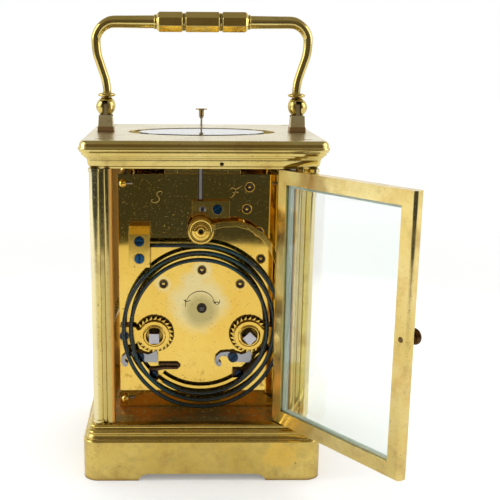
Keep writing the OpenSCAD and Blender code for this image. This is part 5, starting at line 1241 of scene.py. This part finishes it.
way = room_node("ShaderNodeSeparateXYZ")
room.links.new(room_node("ShaderNodeTexCoord").outputs["Generated"], way.inputs[0])
near_side = room_ramp(way.outputs["Y"], DIM_FROM, DIM_FULL)
overhead = room_ramp(way.outputs["Z"], CEILING_FROM, CEILING_FULL)
level = room_ramp(way.outputs["Z"], LOW_FROM, LOW_FULL)
dim = room_mix(level, DIM_LOW, DIM_HIGH)
shiny = room_mix(near_side, PALE_ROOM, dim)
shiny = room_mix(overhead, shiny, CEILING)
ray = room_node("ShaderNodeLightPath").outputs
colour = room_mix(ray["Is Glossy Ray"], MATT_LIGHT, shiny)
colour = room_mix(ray["Is Transmission Ray"], colour, WHITE)
colour = room_mix(ray["Is Camera Ray"], colour, WHITE)
room.links.new(colour, room.nodes["Background"].inputs["Color"])
room.nodes["Background"].inputs["Strength"].default_value = 1.0
print("room of", len(room.nodes), "nodes")

# %% [markdown]
# ### Lamps
# Two soft boxes stand to the left and right, higher than the clock, and shine along its edges. A larger one
# hangs above. It is hidden from shiny things, because a white square on the roof would look like a sticker.

# %% Lamps
LAMP_AIM = (0, 0, 0.09)


def soft_lamp(name, at, size, power, shows=True):
    """A flat lamp, in metres and watts, that faces the middle of the clock."""
    data = bpy.data.lights.new(name, "AREA")
    data.shape = "RECTANGLE"
    data.size, data.size_y = size
    data.energy = power
    lamp = bpy.data.objects.new(name, data)
    bpy.context.scene.collection.objects.link(lamp)
    lamp.location = at
    lamp.rotation_euler = (Vector(LAMP_AIM) - Vector(at)).to_track_quat("-Z", "Y").to_euler()
    lamp.visible_glossy = shows


soft_lamp("left_lamp", (0.85, 0.1, 0.5), (0.35, 0.6), 2.2)
soft_lamp("right_lamp", (-0.9, 0.1, 0.45), (0.35, 0.6), 1.8)
soft_lamp("top_lamp", (0.0, -0.1, 0.95), (0.9, 0.7), 2.4, shows=False)

# %% [markdown]
# ### Camera
# The camera looks at the back of the clock from a little above, and from less than an arm's length away.
# A slight shift of the lens moves the clock within the view without turning the camera, so the upright edges
# keep their slope. The ways forward and right are settled first, and up follows from them.

# %% Camera
FOCAL, SENSOR, TILT = 65.57, 36, 0.31
SHIFT_X, SHIFT_Y = 0.1117, 0.0411
CAMERA_AT = Vector((0.01044, 0.38904, 0.17115))

lens = bpy.data.cameras.new("camera")
lens.lens = FOCAL
lens.sensor_width = SENSOR
lens.shift_x = SHIFT_X
lens.shift_y = SHIFT_Y
lens.clip_start = 0.01
lens.clip_end = 20
camera = bpy.data.objects.new("camera", lens)
bpy.context.scene.collection.objects.link(camera)
forward = Vector((-0.0190, -0.9726, -0.2317)).normalized()
right = Vector((-0.9998, 0.0195, 0.0)).normalized()
tilt = math.radians(TILT)
up = right.cross(forward).normalized()
right, up = right * math.cos(tilt) + up * math.sin(tilt), up * math.cos(tilt) - right * math.sin(tilt)
camera.matrix_world = Matrix((
    (right.x, up.x, -forward.x, CAMERA_AT.x), (right.y, up.y, -forward.y, CAMERA_AT.y),
    (right.z, up.z, -forward.z, CAMERA_AT.z), (0, 0, 0, 1)))
bpy.context.scene.camera = camera
bpy.context.scene.view_settings.view_transform = "Standard"
print("camera", round(CAMERA_AT.length, 3), "m from the middle of the base")
